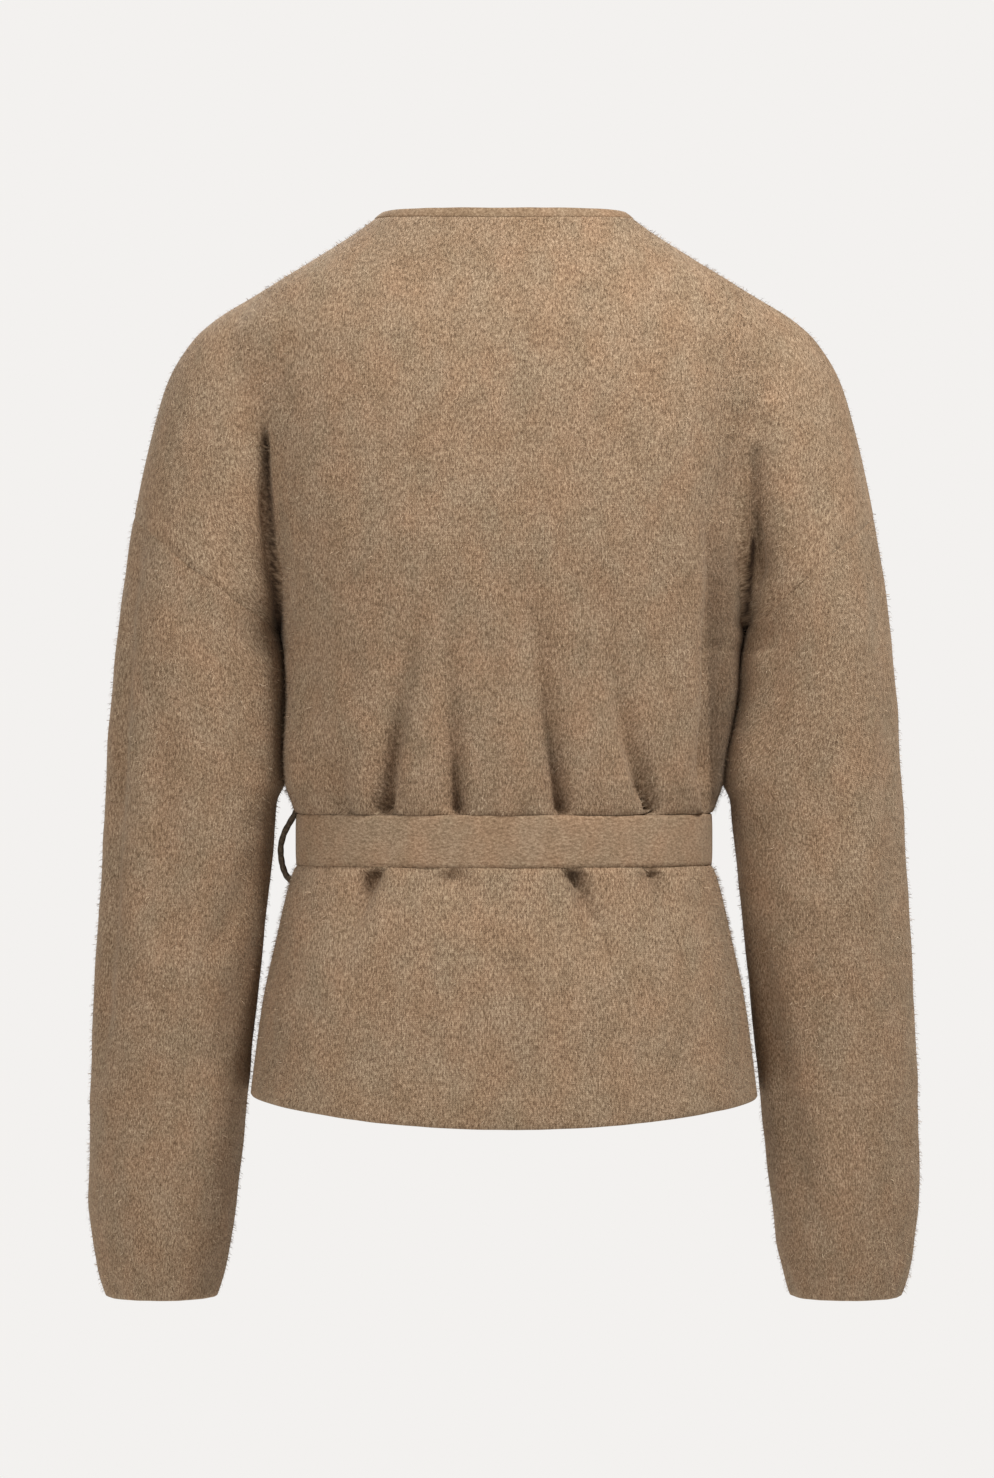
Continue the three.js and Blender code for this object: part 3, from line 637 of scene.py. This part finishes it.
knitLook = {
    "streak": perMetre(1.0, 2.6), "fibre": perMetre(0.45, 0.9), "cloud": perMetre(17, 27),
    "warm": perMetre(22, 34), "contrast": 0.125, "streakShare": 0.55, "fibreShare": 0.45,
    "dark": linear(104, 82, 62), "mid": linear(152, 127, 102), "light": linear(194, 169, 141),
    "warmRange": (0.35, 0.65), "warmShare": 0.6, "warmTint": linear(255, 240, 230),
    "cloudRange": (0.3, 0.7), "cloudShare": 0.8, "cloudTint": linear(230, 233, 230),
    # The colour of the painted shade in the slits and creases
    "paintedSlitShadeTint": linear(84, 70, 58),
    "wale": 0.00135, "course": 0.001, "slant": 2.2, "loopRelief": 0.35, "waleRelief": 0.65,
    "stitchShare": 0.5, "streakRelief": 0.8, "fibreRelief": 0.6, "bump": 0.5, "relief": 0.0006,
    "sheen": 0.25, "sheenTint": linear(225, 205, 180),
}
beltLook = dict(
    knitLook, streak=perMetre(2.4, 1.4), fibre=perMetre(0.8, 0.7), contrast=0.2, stitchShare=0.2,
    mid=linear(154, 129, 104), bump=0.3, sheen=0.2,
)
bandLook = dict(
    knitLook, streak=perMetre(1.3, 1.8), contrast=0.2, stitchShare=0.2,
    mid=linear(148, 123, 98), bump=0.3, sheen=0.2,
)
cordLook = dict(
    bandLook, dark=linear(48, 41, 34), mid=linear(84, 74, 62), light=linear(122, 108, 90), sheen=0.1,
)
strandLook = dict(
    knitLook, dark=linear(112, 88, 66), mid=linear(160, 134, 108), light=linear(224, 201, 173),
    stitchShare=0.0, bump=0.0, sheen=0.1,
)
knitSurface = knitMaterial("brushed_knit_cloth", knitLook)
beltSurface = knitMaterial("belt_knit_cloth", beltLook)
bandSurface = knitMaterial("band_knit_cloth", bandLook)
cordSurface = knitMaterial("belt_loop_thread", cordLook)
strandSurface = knitMaterial("brushed_nap", strandLook)
print("stage: materials made")


# Brushed nap: fine strands that lie down along the knit and lift a little, each three triangles
napLook = {
    "yaw": 0.75, "lowLift": 0.08, "highLift": 0.6, "length": 2.1, "spread": 4, "shortest": 0.8,
    "longest": 5, "thin": 0.1, "wide": 0.2, "slimmer": 0.8, "scatter": 8, "edge": 0.9, "sideEdge": 0.001,
    "curl": 0.5, "droop": 0.3, "sunk": 0.15, "quickShare": 5,
    "wild": 0.3, "wildLift": 0.65, "wildShare": 0.7, "wildLonger": 2, "wildWider": 1.7,
}
strandCount = {"back": 56000, "front": 20000, "sleeve": 34000}


def nap(name, grid, places, count, wraps=False, trimmed=None, dark=None):
    look = napLook
    rows, columns = grid.shape[:2]
    spans = columns if wraps else columns - 1
    i = random.uniform(0, rows - 1 - look["edge"], count)
    j = random.uniform(0, spans - look["sideEdge"], count)
    lowI, lowJ = i.astype(int), j.astype(int)
    shareI, shareJ = (i - lowI)[:, None], (j - lowJ)[:, None]
    nextJ = (lowJ + 1) % columns

    def blend(values, column):
        near = mix(values[lowI, lowJ], values[lowI + 1, lowJ], shareI)
        return mix(near, mix(values[lowI, column], values[lowI + 1, column], shareI), shareJ)
    root = blend(grid, nextJ)
    normal = unit(blend(normalsOf(grid, wraps), nextJ))
    place = blend(places, lowJ + 1)
    down = unit(grid[lowI + 1, lowJ] - grid[lowI, lowJ])
    side = np.cross(normal, down)
    yaw = random.normal(0, look["yaw"], count)[:, None]
    lift = random.uniform(look["lowLift"], look["highLift"], count)[:, None]
    wild = (random.uniform(0, 1, count) < look["wild"])[:, None]
    lift = np.where(wild, lift + look["wildLift"], lift)
    length = random.gamma(look["spread"], look["length"] / look["spread"], count)[:, None]
    length = length.clip(look["shortest"], look["longest"])
    length = np.where(wild, length * look["wildShare"] + look["wildLonger"], length)
    if trimmed is not None:
        length = length * trimmed(root)[:, None]
    width = random.uniform(look["thin"], look["wide"], count)[:, None] / 2
    width = np.where(wild, width * look["wildWider"], width)
    flat = down * np.cos(yaw) + side * np.sin(yaw)
    curl = random.normal(0, look["curl"], count)[:, None]
    across = np.cross(normal, flat)
    first = flat * np.cos(lift) + normal * np.sin(lift)
    laterLift = lift * look["droop"]
    second = flat * np.cos(laterLift) + normal * np.sin(laterLift) + across * curl
    base = root - normal * look["sunk"]
    middle = root + first * length / 2
    tip = middle + second * length / 2
    upperWidth = width * look["slimmer"]
    points = np.stack([
        base - across * width, base + across * width,
        middle - across * upperWidth, middle + across * upperWidth, tip,
    ], axis=1)
    start = np.arange(count)[:, None] * points.shape[1]
    faces = np.concatenate([start + [0, 1, 3], start + [0, 3, 2], start + [2, 3, 4]])
    shifted = place + random.normal(0, look["scatter"], (count, 2))
    facePlaces = np.repeat(np.tile(shifted, (3, 1))[:, None, :], 3, axis=1)
    # The strands take the painted shade of the cloth beneath their roots
    paintedShadeShares = None if dark is None else np.repeat(dark(root), points.shape[1])
    return meshOf(name, points.reshape(-1, 3), faces, strandSurface, facePlaces, paintedShadeShares)


# The nap is worn short inside the slits beside the armholes
def wornInSlits(points):
    worn, place, spread, top, bottom, fade = 0.97, 145, 7, -155, -300, 20
    across, height = np.abs(points[:, 0]), points[:, 2]
    alongSlit = smooth((top - height) / fade) * smooth((height - bottom) / fade)
    return 1 - worn * bell(across - place, spread) * alongSlit


# The body's three panels, in rows from the neck to the hem
panelCells = {"back": 196, "backColumns": 190, "front": 160, "frontColumns": 84}


def panel(face, startOf, endOf, levels, columns, press=False):
    grid, places = [], []
    for level in levels:
        even, across = bodyRow(level, face, startOf(level), endOf(level), columns, press)
        grid.append(even)
        places.append(np.stack([across, np.full(columns, level)], axis=1))
    return np.array(grid), np.array(places)


backLevels = np.linspace(neckTop, hem, panelCells["back"])
frontLevels = np.linspace(sizes["frontTop"], hem, panelCells["front"])
backGrid, backPlaces = panel(
    "back", rowEnd, lambda z: -rowEnd(z), backLevels, panelCells["backColumns"])
frontColumns = panelCells["frontColumns"]
rightGrid, rightPlaces = panel(
    "front", lambda z: -rowEnd(z), lambda z: -float(edgeAcross(z)), frontLevels, frontColumns)
leftGrid, leftPlaces = panel(
    "front", lambda z: float(edgeAcross(z)), rowEnd, frontLevels, frontColumns, press=True)
thick = sizes["thick"]
# The back panel and its nap get painted shade in the slits and creases
back = clothWall("back_panel", backGrid, backPlaces, thick, knitSurface, dark=paintedShadeShare(backGrid))
frontRight = clothWall("front_right_panel", rightGrid, rightPlaces, thick, knitSurface)
frontLeft = clothWall("front_left_panel", leftGrid, leftPlaces, thick, knitSurface)
backNap = nap("back_nap", backGrid, backPlaces, strandCount["back"], trimmed=wornInSlits, dark=paintedShadeShare)
rightNap = nap("front_right_nap", rightGrid, rightPlaces, strandCount["front"], trimmed=wornInSlits)
leftNap = nap("front_left_nap", leftGrid, leftPlaces, strandCount["front"], trimmed=wornInSlits)
print("stage: body panels made")


# The sleeves: tubes whose rings slant with the armhole and level off towards the cuff
sleeveLook = {
    "rings": 158, "round": 116, "tuck": 2.2, "tuckInset": 0.9, "cuff": -683.5, "levelOff": 200,
    "phase": 5.2, "rippleRound": 50, "rippleShare": 0.8, "push": 1.6, "pushFrom": 0.6, "pushFade": 0.4,
    "bulge": 3.4, "bulgeAt": 38, "bulgeSpread": 13, "bulgeLower": 12, "foldPower": 0.7,
    "flatRound": 330, "flatApart": 900, "settling": 12,
}
armholeSlope = (sizes["armholeTop"] - underarm) / (armholeOuter - armholeInner)
armholeMiddle = (sizes["armholeTop"] + underarm) / 2
armholeCentre = (armholeOuter + armholeInner) / 2


def sleeveFoldDepth(around, middle, side):
    total = np.zeros_like(around)
    for foldSide, start, fromHeight, end, toHeight, spread, depth in sleeveFolds:
        if foldSide != side:
            continue
        way = clamp01((middle - fromHeight) / (toHeight - fromHeight))
        offset = (around - mix(start, end, way) + 180) % 360 - 180
        total += depth * math.sin(math.pi * way) ** sleeveLook["foldPower"] * bell(offset, spread)
    return total


def sleeveRing(middle, side, turn, inset):
    look = sleeveLook
    slope = armholeSlope * (1 - smooth((armholeMiddle - middle) / look["levelOff"]))
    z = np.full_like(turn, middle)
    for step in range(look["settling"]):
        wide = arm["wide"](z)
        x = arm["outer"](z) - wide + wide * np.cos(turn)
        z = middle + slope * (x - armholeCentre)
    around = np.degrees(turn)
    inward = inset + sleeveFoldDepth(around, middle, side)
    inward = inward + ripple(turn * look["rippleRound"], z, look["phase"] + side) * look["rippleShare"]
    pushed = smooth((-np.cos(turn) - look["pushFrom"]) / look["pushFade"])
    inward = inward - nearSleeve(z) * look["push"] * pushed
    fromInside = np.abs(around % 360 - 180)
    bulge = bell(fromInside - look["bulgeAt"], look["bulgeSpread"])
    inward = inward - look["bulge"] * nearSleeve(z + look["bulgeLower"]) * bulge
    wide, deep = arm["wide"](z), arm["deep"](z)
    x = arm["outer"](z) - wide + (wide - inward) * np.cos(turn)
    y = (deep - inward) * np.sin(turn) - arm["forward"](z)
    return wander(np.stack([side * x, y, z], axis=1))


def sleeve(name, side):
    look = sleeveLook
    rounds = look["round"]
    turn = math.pi + 2 * math.pi * np.arange(rounds) / rounds
    if side < 0:
        turn = turn[::-1]
    around = np.arange(rounds + 1) / rounds * look["flatRound"] + look["flatApart"] * side
    rings, places = [], []
    top = armholeMiddle + look["tuck"]
    for middle in np.linspace(top, look["cuff"], look["rings"]):
        tucked = look["tuckInset"] * (1 - smooth((top - middle) / (2 * look["tuck"])))
        rings.append(sleeveRing(middle, side, turn, sizes["inset"] + tucked))
        places.append(np.stack([around, np.full(rounds + 1, middle)], axis=1))
    grid, places = np.array(rings), np.array(places)
    piece = clothWall(name, grid, places, thick, knitSurface, wraps=True)
    fuzz = nap(name + "_nap", grid, places, strandCount["sleeve"], wraps=True)
    return piece, fuzz


sleeveLeft, leftSleeveNap = sleeve("sleeve_left_cloth", 1)
sleeveRight, rightSleeveNap = sleeve("sleeve_right_cloth", -1)
print("stage: sleeves made")


def softened(values, reach):
    kernel = np.hanning(2 * reach + 3)[1:-1]
    kernel /= kernel.sum()
    before, after = np.repeat(values[:1], reach, axis=0), np.repeat(values[-1:], reach, axis=0)
    padded = np.concatenate([before, values, after])
    return np.stack([np.convolve(padded[:, axis], kernel, mode="valid") for axis in range(3)], axis=1)


# A solid strip whose cross-sections follow a path, closed at both ends
def solidStrip(name, grid, places, material):
    rows, columns = grid.shape[:2]
    quads, quadPlaces = cellsOf(places, rows, columns, columns)
    turned = [0, 3, 2, 1]
    points = [grid.reshape(-1, 3)]
    faces, facePlaces = [quads[:, turned]], [quadPlaces[:, turned]]
    base = rows * columns
    for row, flip in ((0, False), (rows - 1, True)):
        points.append(grid[row].mean(axis=0)[None, :])
        for k in range(0, columns, 2):
            corner = [row * columns + (k + ahead) % columns for ahead in range(3)] + [base]
            if not flip:
                corner = corner[::-1]
            faces.append(np.array([corner]))
            facePlaces.append(np.repeat(places[row, k][None, None, :], 4, axis=1))
        base += 1
    points, faces, facePlaces = np.concatenate(points), np.concatenate(faces), np.concatenate(facePlaces)
    centre = grid[0].mean(axis=0)
    normal = np.cross(grid[0, 1] - grid[0, 0], grid[1, 0] - grid[0, 0])
    if np.dot(normal, grid[0, 0] - centre) < 0:
        faces, facePlaces = faces[:, ::-1], facePlaces[:, ::-1]
    return meshOf(name, points, faces, material, facePlaces)


# The band along the fronts and the back neck: a rounded strip sewn to the panels' edges
bandShape = {
    "gap": 0.1, "width": 7.3, "thick": 2.9, "proud": 0.2, "step": 2.4, "corners": 12,
    "boxy": 0.55, "flat": 0.75, "pathSoft": 2, "turnSoft": 5, "flatAround": 1.6, "flatFrom": 3000,
}


def neckBand():
    shape = bandShape
    leftNormals, backNormals, rightNormals = (
        normalsOf(grid, False) for grid in (leftGrid, backGrid, rightGrid)
    )
    edge = np.concatenate([leftGrid[::-1, 0], backGrid[0], rightGrid[:, -1]])
    normal = np.concatenate([leftNormals[::-1, 0], backNormals[0], rightNormals[:, -1]])
    inside = np.concatenate([leftGrid[::-1, 1], backGrid[1], rightGrid[:, -2]])
    run = runOf(edge)
    at = np.arange(0, run[-1], shape["step"])
    path = softened(sampled(edge, run, at), shape["pathSoft"])
    raised = softened(sampled(normal, run, at), shape["turnSoft"])
    out = softened(sampled(unit(edge - inside), run, at), shape["turnSoft"])
    along = unit(np.gradient(path, axis=0))
    out = unit(out - along * (out * along).sum(axis=1, keepdims=True))
    up = np.cross(out, along)
    up *= np.sign((up * raised).sum(axis=1))[:, None]
    corners = shape["corners"]
    middle = shape["gap"] + shape["width"] / 2
    height = sizes["inset"] + shape["proud"] - shape["thick"] / 2
    rings = []
    for number in range(corners):
        turn = 2 * math.pi * number / corners
        c, s = math.cos(turn), math.sin(turn)
        wide = math.copysign(abs(c) ** shape["boxy"], c) * shape["width"] / 2
        tall = math.copysign(abs(s) ** shape["flat"], s) * shape["thick"] / 2
        rings.append(path + out * (middle + wide) + up * (tall + height))
    length = np.arange(len(at)) * shape["step"] + shape["flatFrom"]
    around = np.arange(corners + 1) * shape["flatAround"]
    places = np.stack(np.meshgrid(around, length, indexing="xy"), axis=2)
    return solidStrip("neck_band_knit", np.stack(rings, axis=1), places, bandSurface)


band = neckBand()
print("stage: neck band made")


# The belt: flat, with crisp folded edges, round the cinched waist
beltShape = {
    "gap": 0.5, "thick": 3.0, "crown": 0.5, "heights": 15, "round": 260, "edge": 0.5, "sunk": 0.3,
    "hollow": 0.6, "bulge": 0.35, "wave": 0.25, "waveLength": 65, "waveShift": 9, "front": 3.8,
}


def beltRing(proud, count):
    turn = 2 * math.pi * np.arange(count) / count
    power = 2 / float(torso["square"](beltMiddle))
    c, s = np.cos(turn), np.sin(turn)
    depth = np.where(s > 0, torso["back"](beltMiddle), torso["front"](beltMiddle))
    x = np.sign(c) * np.abs(c) ** power * (torso["half"](beltMiddle) + proud)
    y = np.sign(s) * np.abs(s) ** power * (depth + proud)
    ring = np.stack([x, y], axis=1)
    closed = np.concatenate([ring, ring[:1]])
    run = runOf(closed)
    return sampled(closed, run, np.linspace(0, run[-1], count, endpoint=False)), run[-1]


def belt():
    shape = beltShape
    rows, places = [], []
    for z in np.linspace(beltTop - shape["edge"], beltBottom + shape["edge"], shape["heights"]):
        share = (z - beltMiddle) / ((beltTop - beltBottom) / 2)
        proud = shape["gap"] + shape["thick"] - shape["sunk"] + shape["crown"] * (1 - share ** 4)
        ring, length = beltRing(proud, shape["round"])
        turns = np.arange(len(ring)) / shape["waveLength"]
        wave = shape["wave"] * np.sin(2 * math.pi * turns + z / shape["waveShift"])
        rows.append(np.concatenate([ring, (z + wave)[:, None]], axis=1))
        around = np.linspace(0, length, len(ring) + 1)
        places.append(np.stack([around, np.full(len(ring) + 1, z)], axis=1))
    return clothWall(
        "belt_band", np.array(rows), np.array(places), shape["thick"] - shape["hollow"], beltSurface,
        wraps=True, bulge=shape["bulge"],
    )


beltPiece = belt()
beltFront = float(torso["front"](beltMiddle)) + beltShape["front"]

# The knot: a full pillow of belt cloth with slanting pleats, narrower towards the tails
knotShape = {
    "x": 16, "half": 18.2, "tall": 19.4, "deep": 18, "bottom": -414.4, "rings": 54, "around": 84,
    "boxy": 0.62, "endBoxy": 0.34, "taper": 0.14, "clear": 0.4, "endTurn": 0.03, "flatBack": 0.96,
    "pleatDepth": 2.0, "pleatAcross": 0.16, "pleatDown": 0.36, "pleatSharp": 6,
}


def knot():
    shape = knotShape
    rings, around = shape["rings"], shape["around"]
    grid = np.zeros((rings, around, 3))
    turnAround = 2 * math.pi * np.arange(around) / around
    c, s = np.cos(turnAround), np.sin(turnAround)
    wide = np.sign(c) * np.abs(c) ** shape["boxy"]
    deep = np.sign(s) * np.abs(s) ** shape["boxy"]
    centre = -beltFront - shape["clear"] - shape["deep"] / 2
    for number in range(rings):
        turn = mix(1 - shape["endTurn"], shape["endTurn"], number / (rings - 1)) * math.pi
        size = math.sin(turn) ** shape["endBoxy"]
        rise = 1 + math.cos(turn)
        x = wide * size * shape["half"] * (1 - shape["taper"] * (1 - rise / 2))
        phase = x * shape["pleatAcross"] + rise * shape["tall"] * shape["pleatDown"]
        groove = shape["pleatDepth"] * np.abs(np.sin(phase)) ** shape["pleatSharp"] * size
        reach = shape["deep"] / 2 - groove
        grid[number, :, 0] = shape["x"] + x * (1 - groove / shape["half"] / 2)
        grid[number, :, 1] = centre + np.minimum(deep * size, shape["flatBack"]) * reach
        grid[number, :, 2] = shape["bottom"] + shape["tall"] * rise
    turns = np.arange(around + 1) / around * 2 * math.pi * shape["half"]
    heights = np.linspace(0, 2 * shape["tall"], rings)
    places = np.stack(np.meshgrid(turns, heights, indexing="xy"), axis=2)
    return solidStrip("belt_knot_cloth", grid, places, beltSurface)


knotPiece = knot()

# The belt's free ends, hanging from the knot down the front
tailShape = {
    "steps": 90, "columns": 22, "top": -415.3, "neckWidth": 16, "clear": 4.6, "curl": 1.6, "thinner": 0.8,
    "widening": 1.6, "falling": 2.4, "proud": 9.5, "flatFrom": 500,
}
tails = (
    {"name": "belt_tail_upper", "from": 7, "to": -14, "length": 152, "tip": 31},
    {"name": "belt_tail_under", "from": 25, "to": 46, "length": 134, "tip": 31},
)


def beltTail(tail):
    shape = tailShape
    steps, columns, clear = shape["steps"], shape["columns"], shape["clear"]
    grid = np.zeros((steps, columns, 3))
    places = np.zeros((steps, columns, 2))
    j = np.linspace(0, 1, columns)
    for number in range(steps):
        share = number / (steps - 1)
        z = shape["top"] - tail["length"] * share
        middle = mix(tail["from"], tail["to"], smooth(share))
        width = mix(shape["neckWidth"], tail["tip"], smooth(share * shape["widening"]))
        x = middle + width * (j - 0.5)
        front = float(torso["front"](z)) + clear
        hang = mix(beltFront + shape["proud"], front, smooth(share * shape["falling"]))
        curl = shape["curl"] * np.cos(2 * math.pi * (j - 0.5)) * (1 - share)
        surface = bodyDepth(x, np.full(columns, z), "front") + clear
        y = -np.maximum(hang, surface) - curl
        grid[number] = np.stack([x, y, np.full(columns, z)], axis=1)
        places[number] = np.stack([j * tail["tip"] + shape["flatFrom"], np.full(columns, z)], axis=1)
    thin = beltShape["thick"] - shape["thinner"]
    return clothWall(tail["name"] + "_cloth", grid, places, thin, beltSurface)


tailPieces = [beltTail(tail) for tail in tails]
print("stage: belt made")


# The thread loop at the left side seam: a twisted cord from above the belt to below it
loopShape = {
    "behind": 8.0, "radius": 2.0, "steps": 120, "corners": 16, "twist": 9, "groove": 0.22,
    "oval": 1.25, "soft": 9, "flatAround": 0.6, "flatLength": 54,
}
loopStops = (
    (129.4, -374), (130.6, -377), (134.6, -383.5), (138.2, -390), (140.4, -398),
    (140.2, -405), (139, -411.5), (136.8, -417), (133.5, -420.5),
)


def beltLoop():
    shape = loopShape
    at = np.linspace(0, 1, shape["steps"])
    stops = np.array([(across, shape["behind"], height) for across, height in loopStops])
    path = softened(sampled(stops, np.linspace(0, 1, len(stops)), at), shape["soft"])
    along = unit(np.gradient(path, axis=0))
    side = np.array([0.0, 1.0, 0.0])
    other = np.cross(along, side)
    rings = []
    for number in range(shape["corners"]):
        turn = 2 * math.pi * number / shape["corners"]
        swirl = np.abs(np.sin(turn + at * math.pi * shape["twist"]))
        radius = shape["radius"] - shape["groove"] + shape["groove"] * swirl
        outward = side * math.cos(turn) * shape["oval"] + other * math.sin(turn)
        rings.append(path + outward * radius[:, None])
    turns = np.arange(shape["corners"] + 1) * shape["flatAround"]
    lengths = np.linspace(0, shape["flatLength"], len(at))
    places = np.stack(np.meshgrid(turns, lengths, indexing="xy"), axis=2)
    return solidStrip("belt_loop_cord", np.stack(rings, axis=1), places, cordSurface)


loop = beltLoop()
print("stage: loop made")

# What each piece stands for, and its cut
cuts = (
    (back, "back", "brushed_knit", (0.62, 0.60), 0.26, [backNap]),
    (frontRight, "front_right", "brushed_knit", (0.31, 0.56), 0.135, [rightNap]),
    (frontLeft, "front_left", "brushed_knit", (0.31, 0.56), 0.135, [leftNap]),
    (sleeveLeft, "sleeve_left", "brushed_knit", (0.36, 0.50), 0.145, [leftSleeveNap]),
    (sleeveRight, "sleeve_right", "brushed_knit", (0.36, 0.50), 0.145, [rightSleeveNap]),
    (band, "neck_band", "band_knit", (0.0105, 1.37), None, []),
    (beltPiece, "belt", "belt_knit", (0.70, 0.033), None, []),
    (tailPieces[0], "belt_tail_upper", "belt_knit", (0.031, 0.155), 0.0043, []),
    (tailPieces[1], "belt_tail_under", "belt_knit", (0.031, 0.137), 0.0038, []),
)
for piece, node, finish, flat, area, naps in cuts:
    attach(piece, "root")
    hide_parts(node)
    for fuzz in naps:
        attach(fuzz, "root")
        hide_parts(node)
    rests = [] if node in ("back", "front_right", "front_left") else ["back_panel"]
for piece, node, finish in ((knotPiece, "belt_knot", "belt_knit"), (loop, "belt_loop", "belt_knit")):
    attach(piece, "root")
    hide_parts(node)


# The plain pale floor, far enough down to stay out of the photograph's frame
studio = {
    "floor": -1.45, "half": 2.6, "corners": 96, "floorShade": (120, 119, 118), "floorGlow": 0.8,
    "pale": (243, 241, 239), "given": (250, 248, 246), "ambient": 0.33, "aim": Vector((0, 0, -0.3)),
}


def floorDisc():
    turns = 2 * math.pi * np.arange(studio["corners"]) / studio["corners"]
    rim = np.stack([np.cos(turns), np.sin(turns), np.zeros(len(turns))], axis=1) * studio["half"]
    points = np.concatenate([rim, [[0, 0, 0]]]) + [0, 0, studio["floor"]]
    middle = len(turns)
    faces = np.array([[k, (k + 1) % middle, middle] for k in range(middle)])
    material = bpy.data.materials.new("pale_floor")
    graph = Graph(material)
    surface = graph.node("ShaderNodeBsdfPrincipled", {
        "Base Color": linear(*studio["floorShade"]), "Roughness": 0.9, "Specular IOR Level": 0.0,
        "Emission Color": linear(*studio["pale"]), "Emission Strength": studio["floorGlow"],
    })
    graph.node("ShaderNodeOutputMaterial", {0: surface})
    floor = meshOf("floor", points / metre, faces, material, np.zeros((len(faces), 3, 2)))


floorDisc()

# Name, place, size and power
lights = (
    ("key", (-0.78, 0.88, 1.1), 0.55, 29.0),
    ("fill", (1.5, 2.0, 0.8), 2.0, 31.0),
    ("front", (0.5, -1.9, 0.9), 1.8, 34.0),
)
for name, place, size, power in lights:
    lamp = bpy.data.lights.new(name, "AREA")
    lamp.shape = "DISK"
    lamp.size = size
    lamp.energy = power
    holder = bpy.data.objects.new(name, lamp)
    holder.location = place
    holder.rotation_euler = (studio["aim"] - Vector(place)).to_track_quat("-Z", "Y").to_euler()
    bpy.context.collection.objects.link(holder)

# The camera sees the plain pale studio; the cloth gets a softer light from it
world = bpy.data.worlds.new("studio")
bpy.context.scene.world = world
sky = Graph(world)
seen = sky.node("ShaderNodeBackground", {0: linear(*studio["pale"])})
given = sky.node("ShaderNodeBackground", {0: linear(*studio["given"]), 1: studio["ambient"]})
toCamera = sky.node("ShaderNodeLightPath", output="Is Camera Ray")
sky.node("ShaderNodeOutputWorld", {0: sky.node("ShaderNodeMixShader", {0: toCamera, 1: given, 2: seen})})

# The camera stands straight behind the wearer, three metres off, level with the waist
view = {"x": 0.0044, "away": 3.0, "z": -0.331, "tall": 0.9311, "sensor": 24}
lens = bpy.data.cameras.new("camera")
lens.sensor_fit = "VERTICAL"
lens.sensor_height = view["sensor"]
lens.lens = view["sensor"] * view["away"] / view["tall"]
camera = bpy.data.objects.new("camera", lens)
camera.location = (view["x"], view["away"], view["z"])
camera.rotation_euler = (math.pi / 2, 0, math.pi)
bpy.context.collection.objects.link(camera)
bpy.context.scene.camera = camera
bpy.context.scene.view_settings.view_transform = "Standard"
print("stage: studio made")
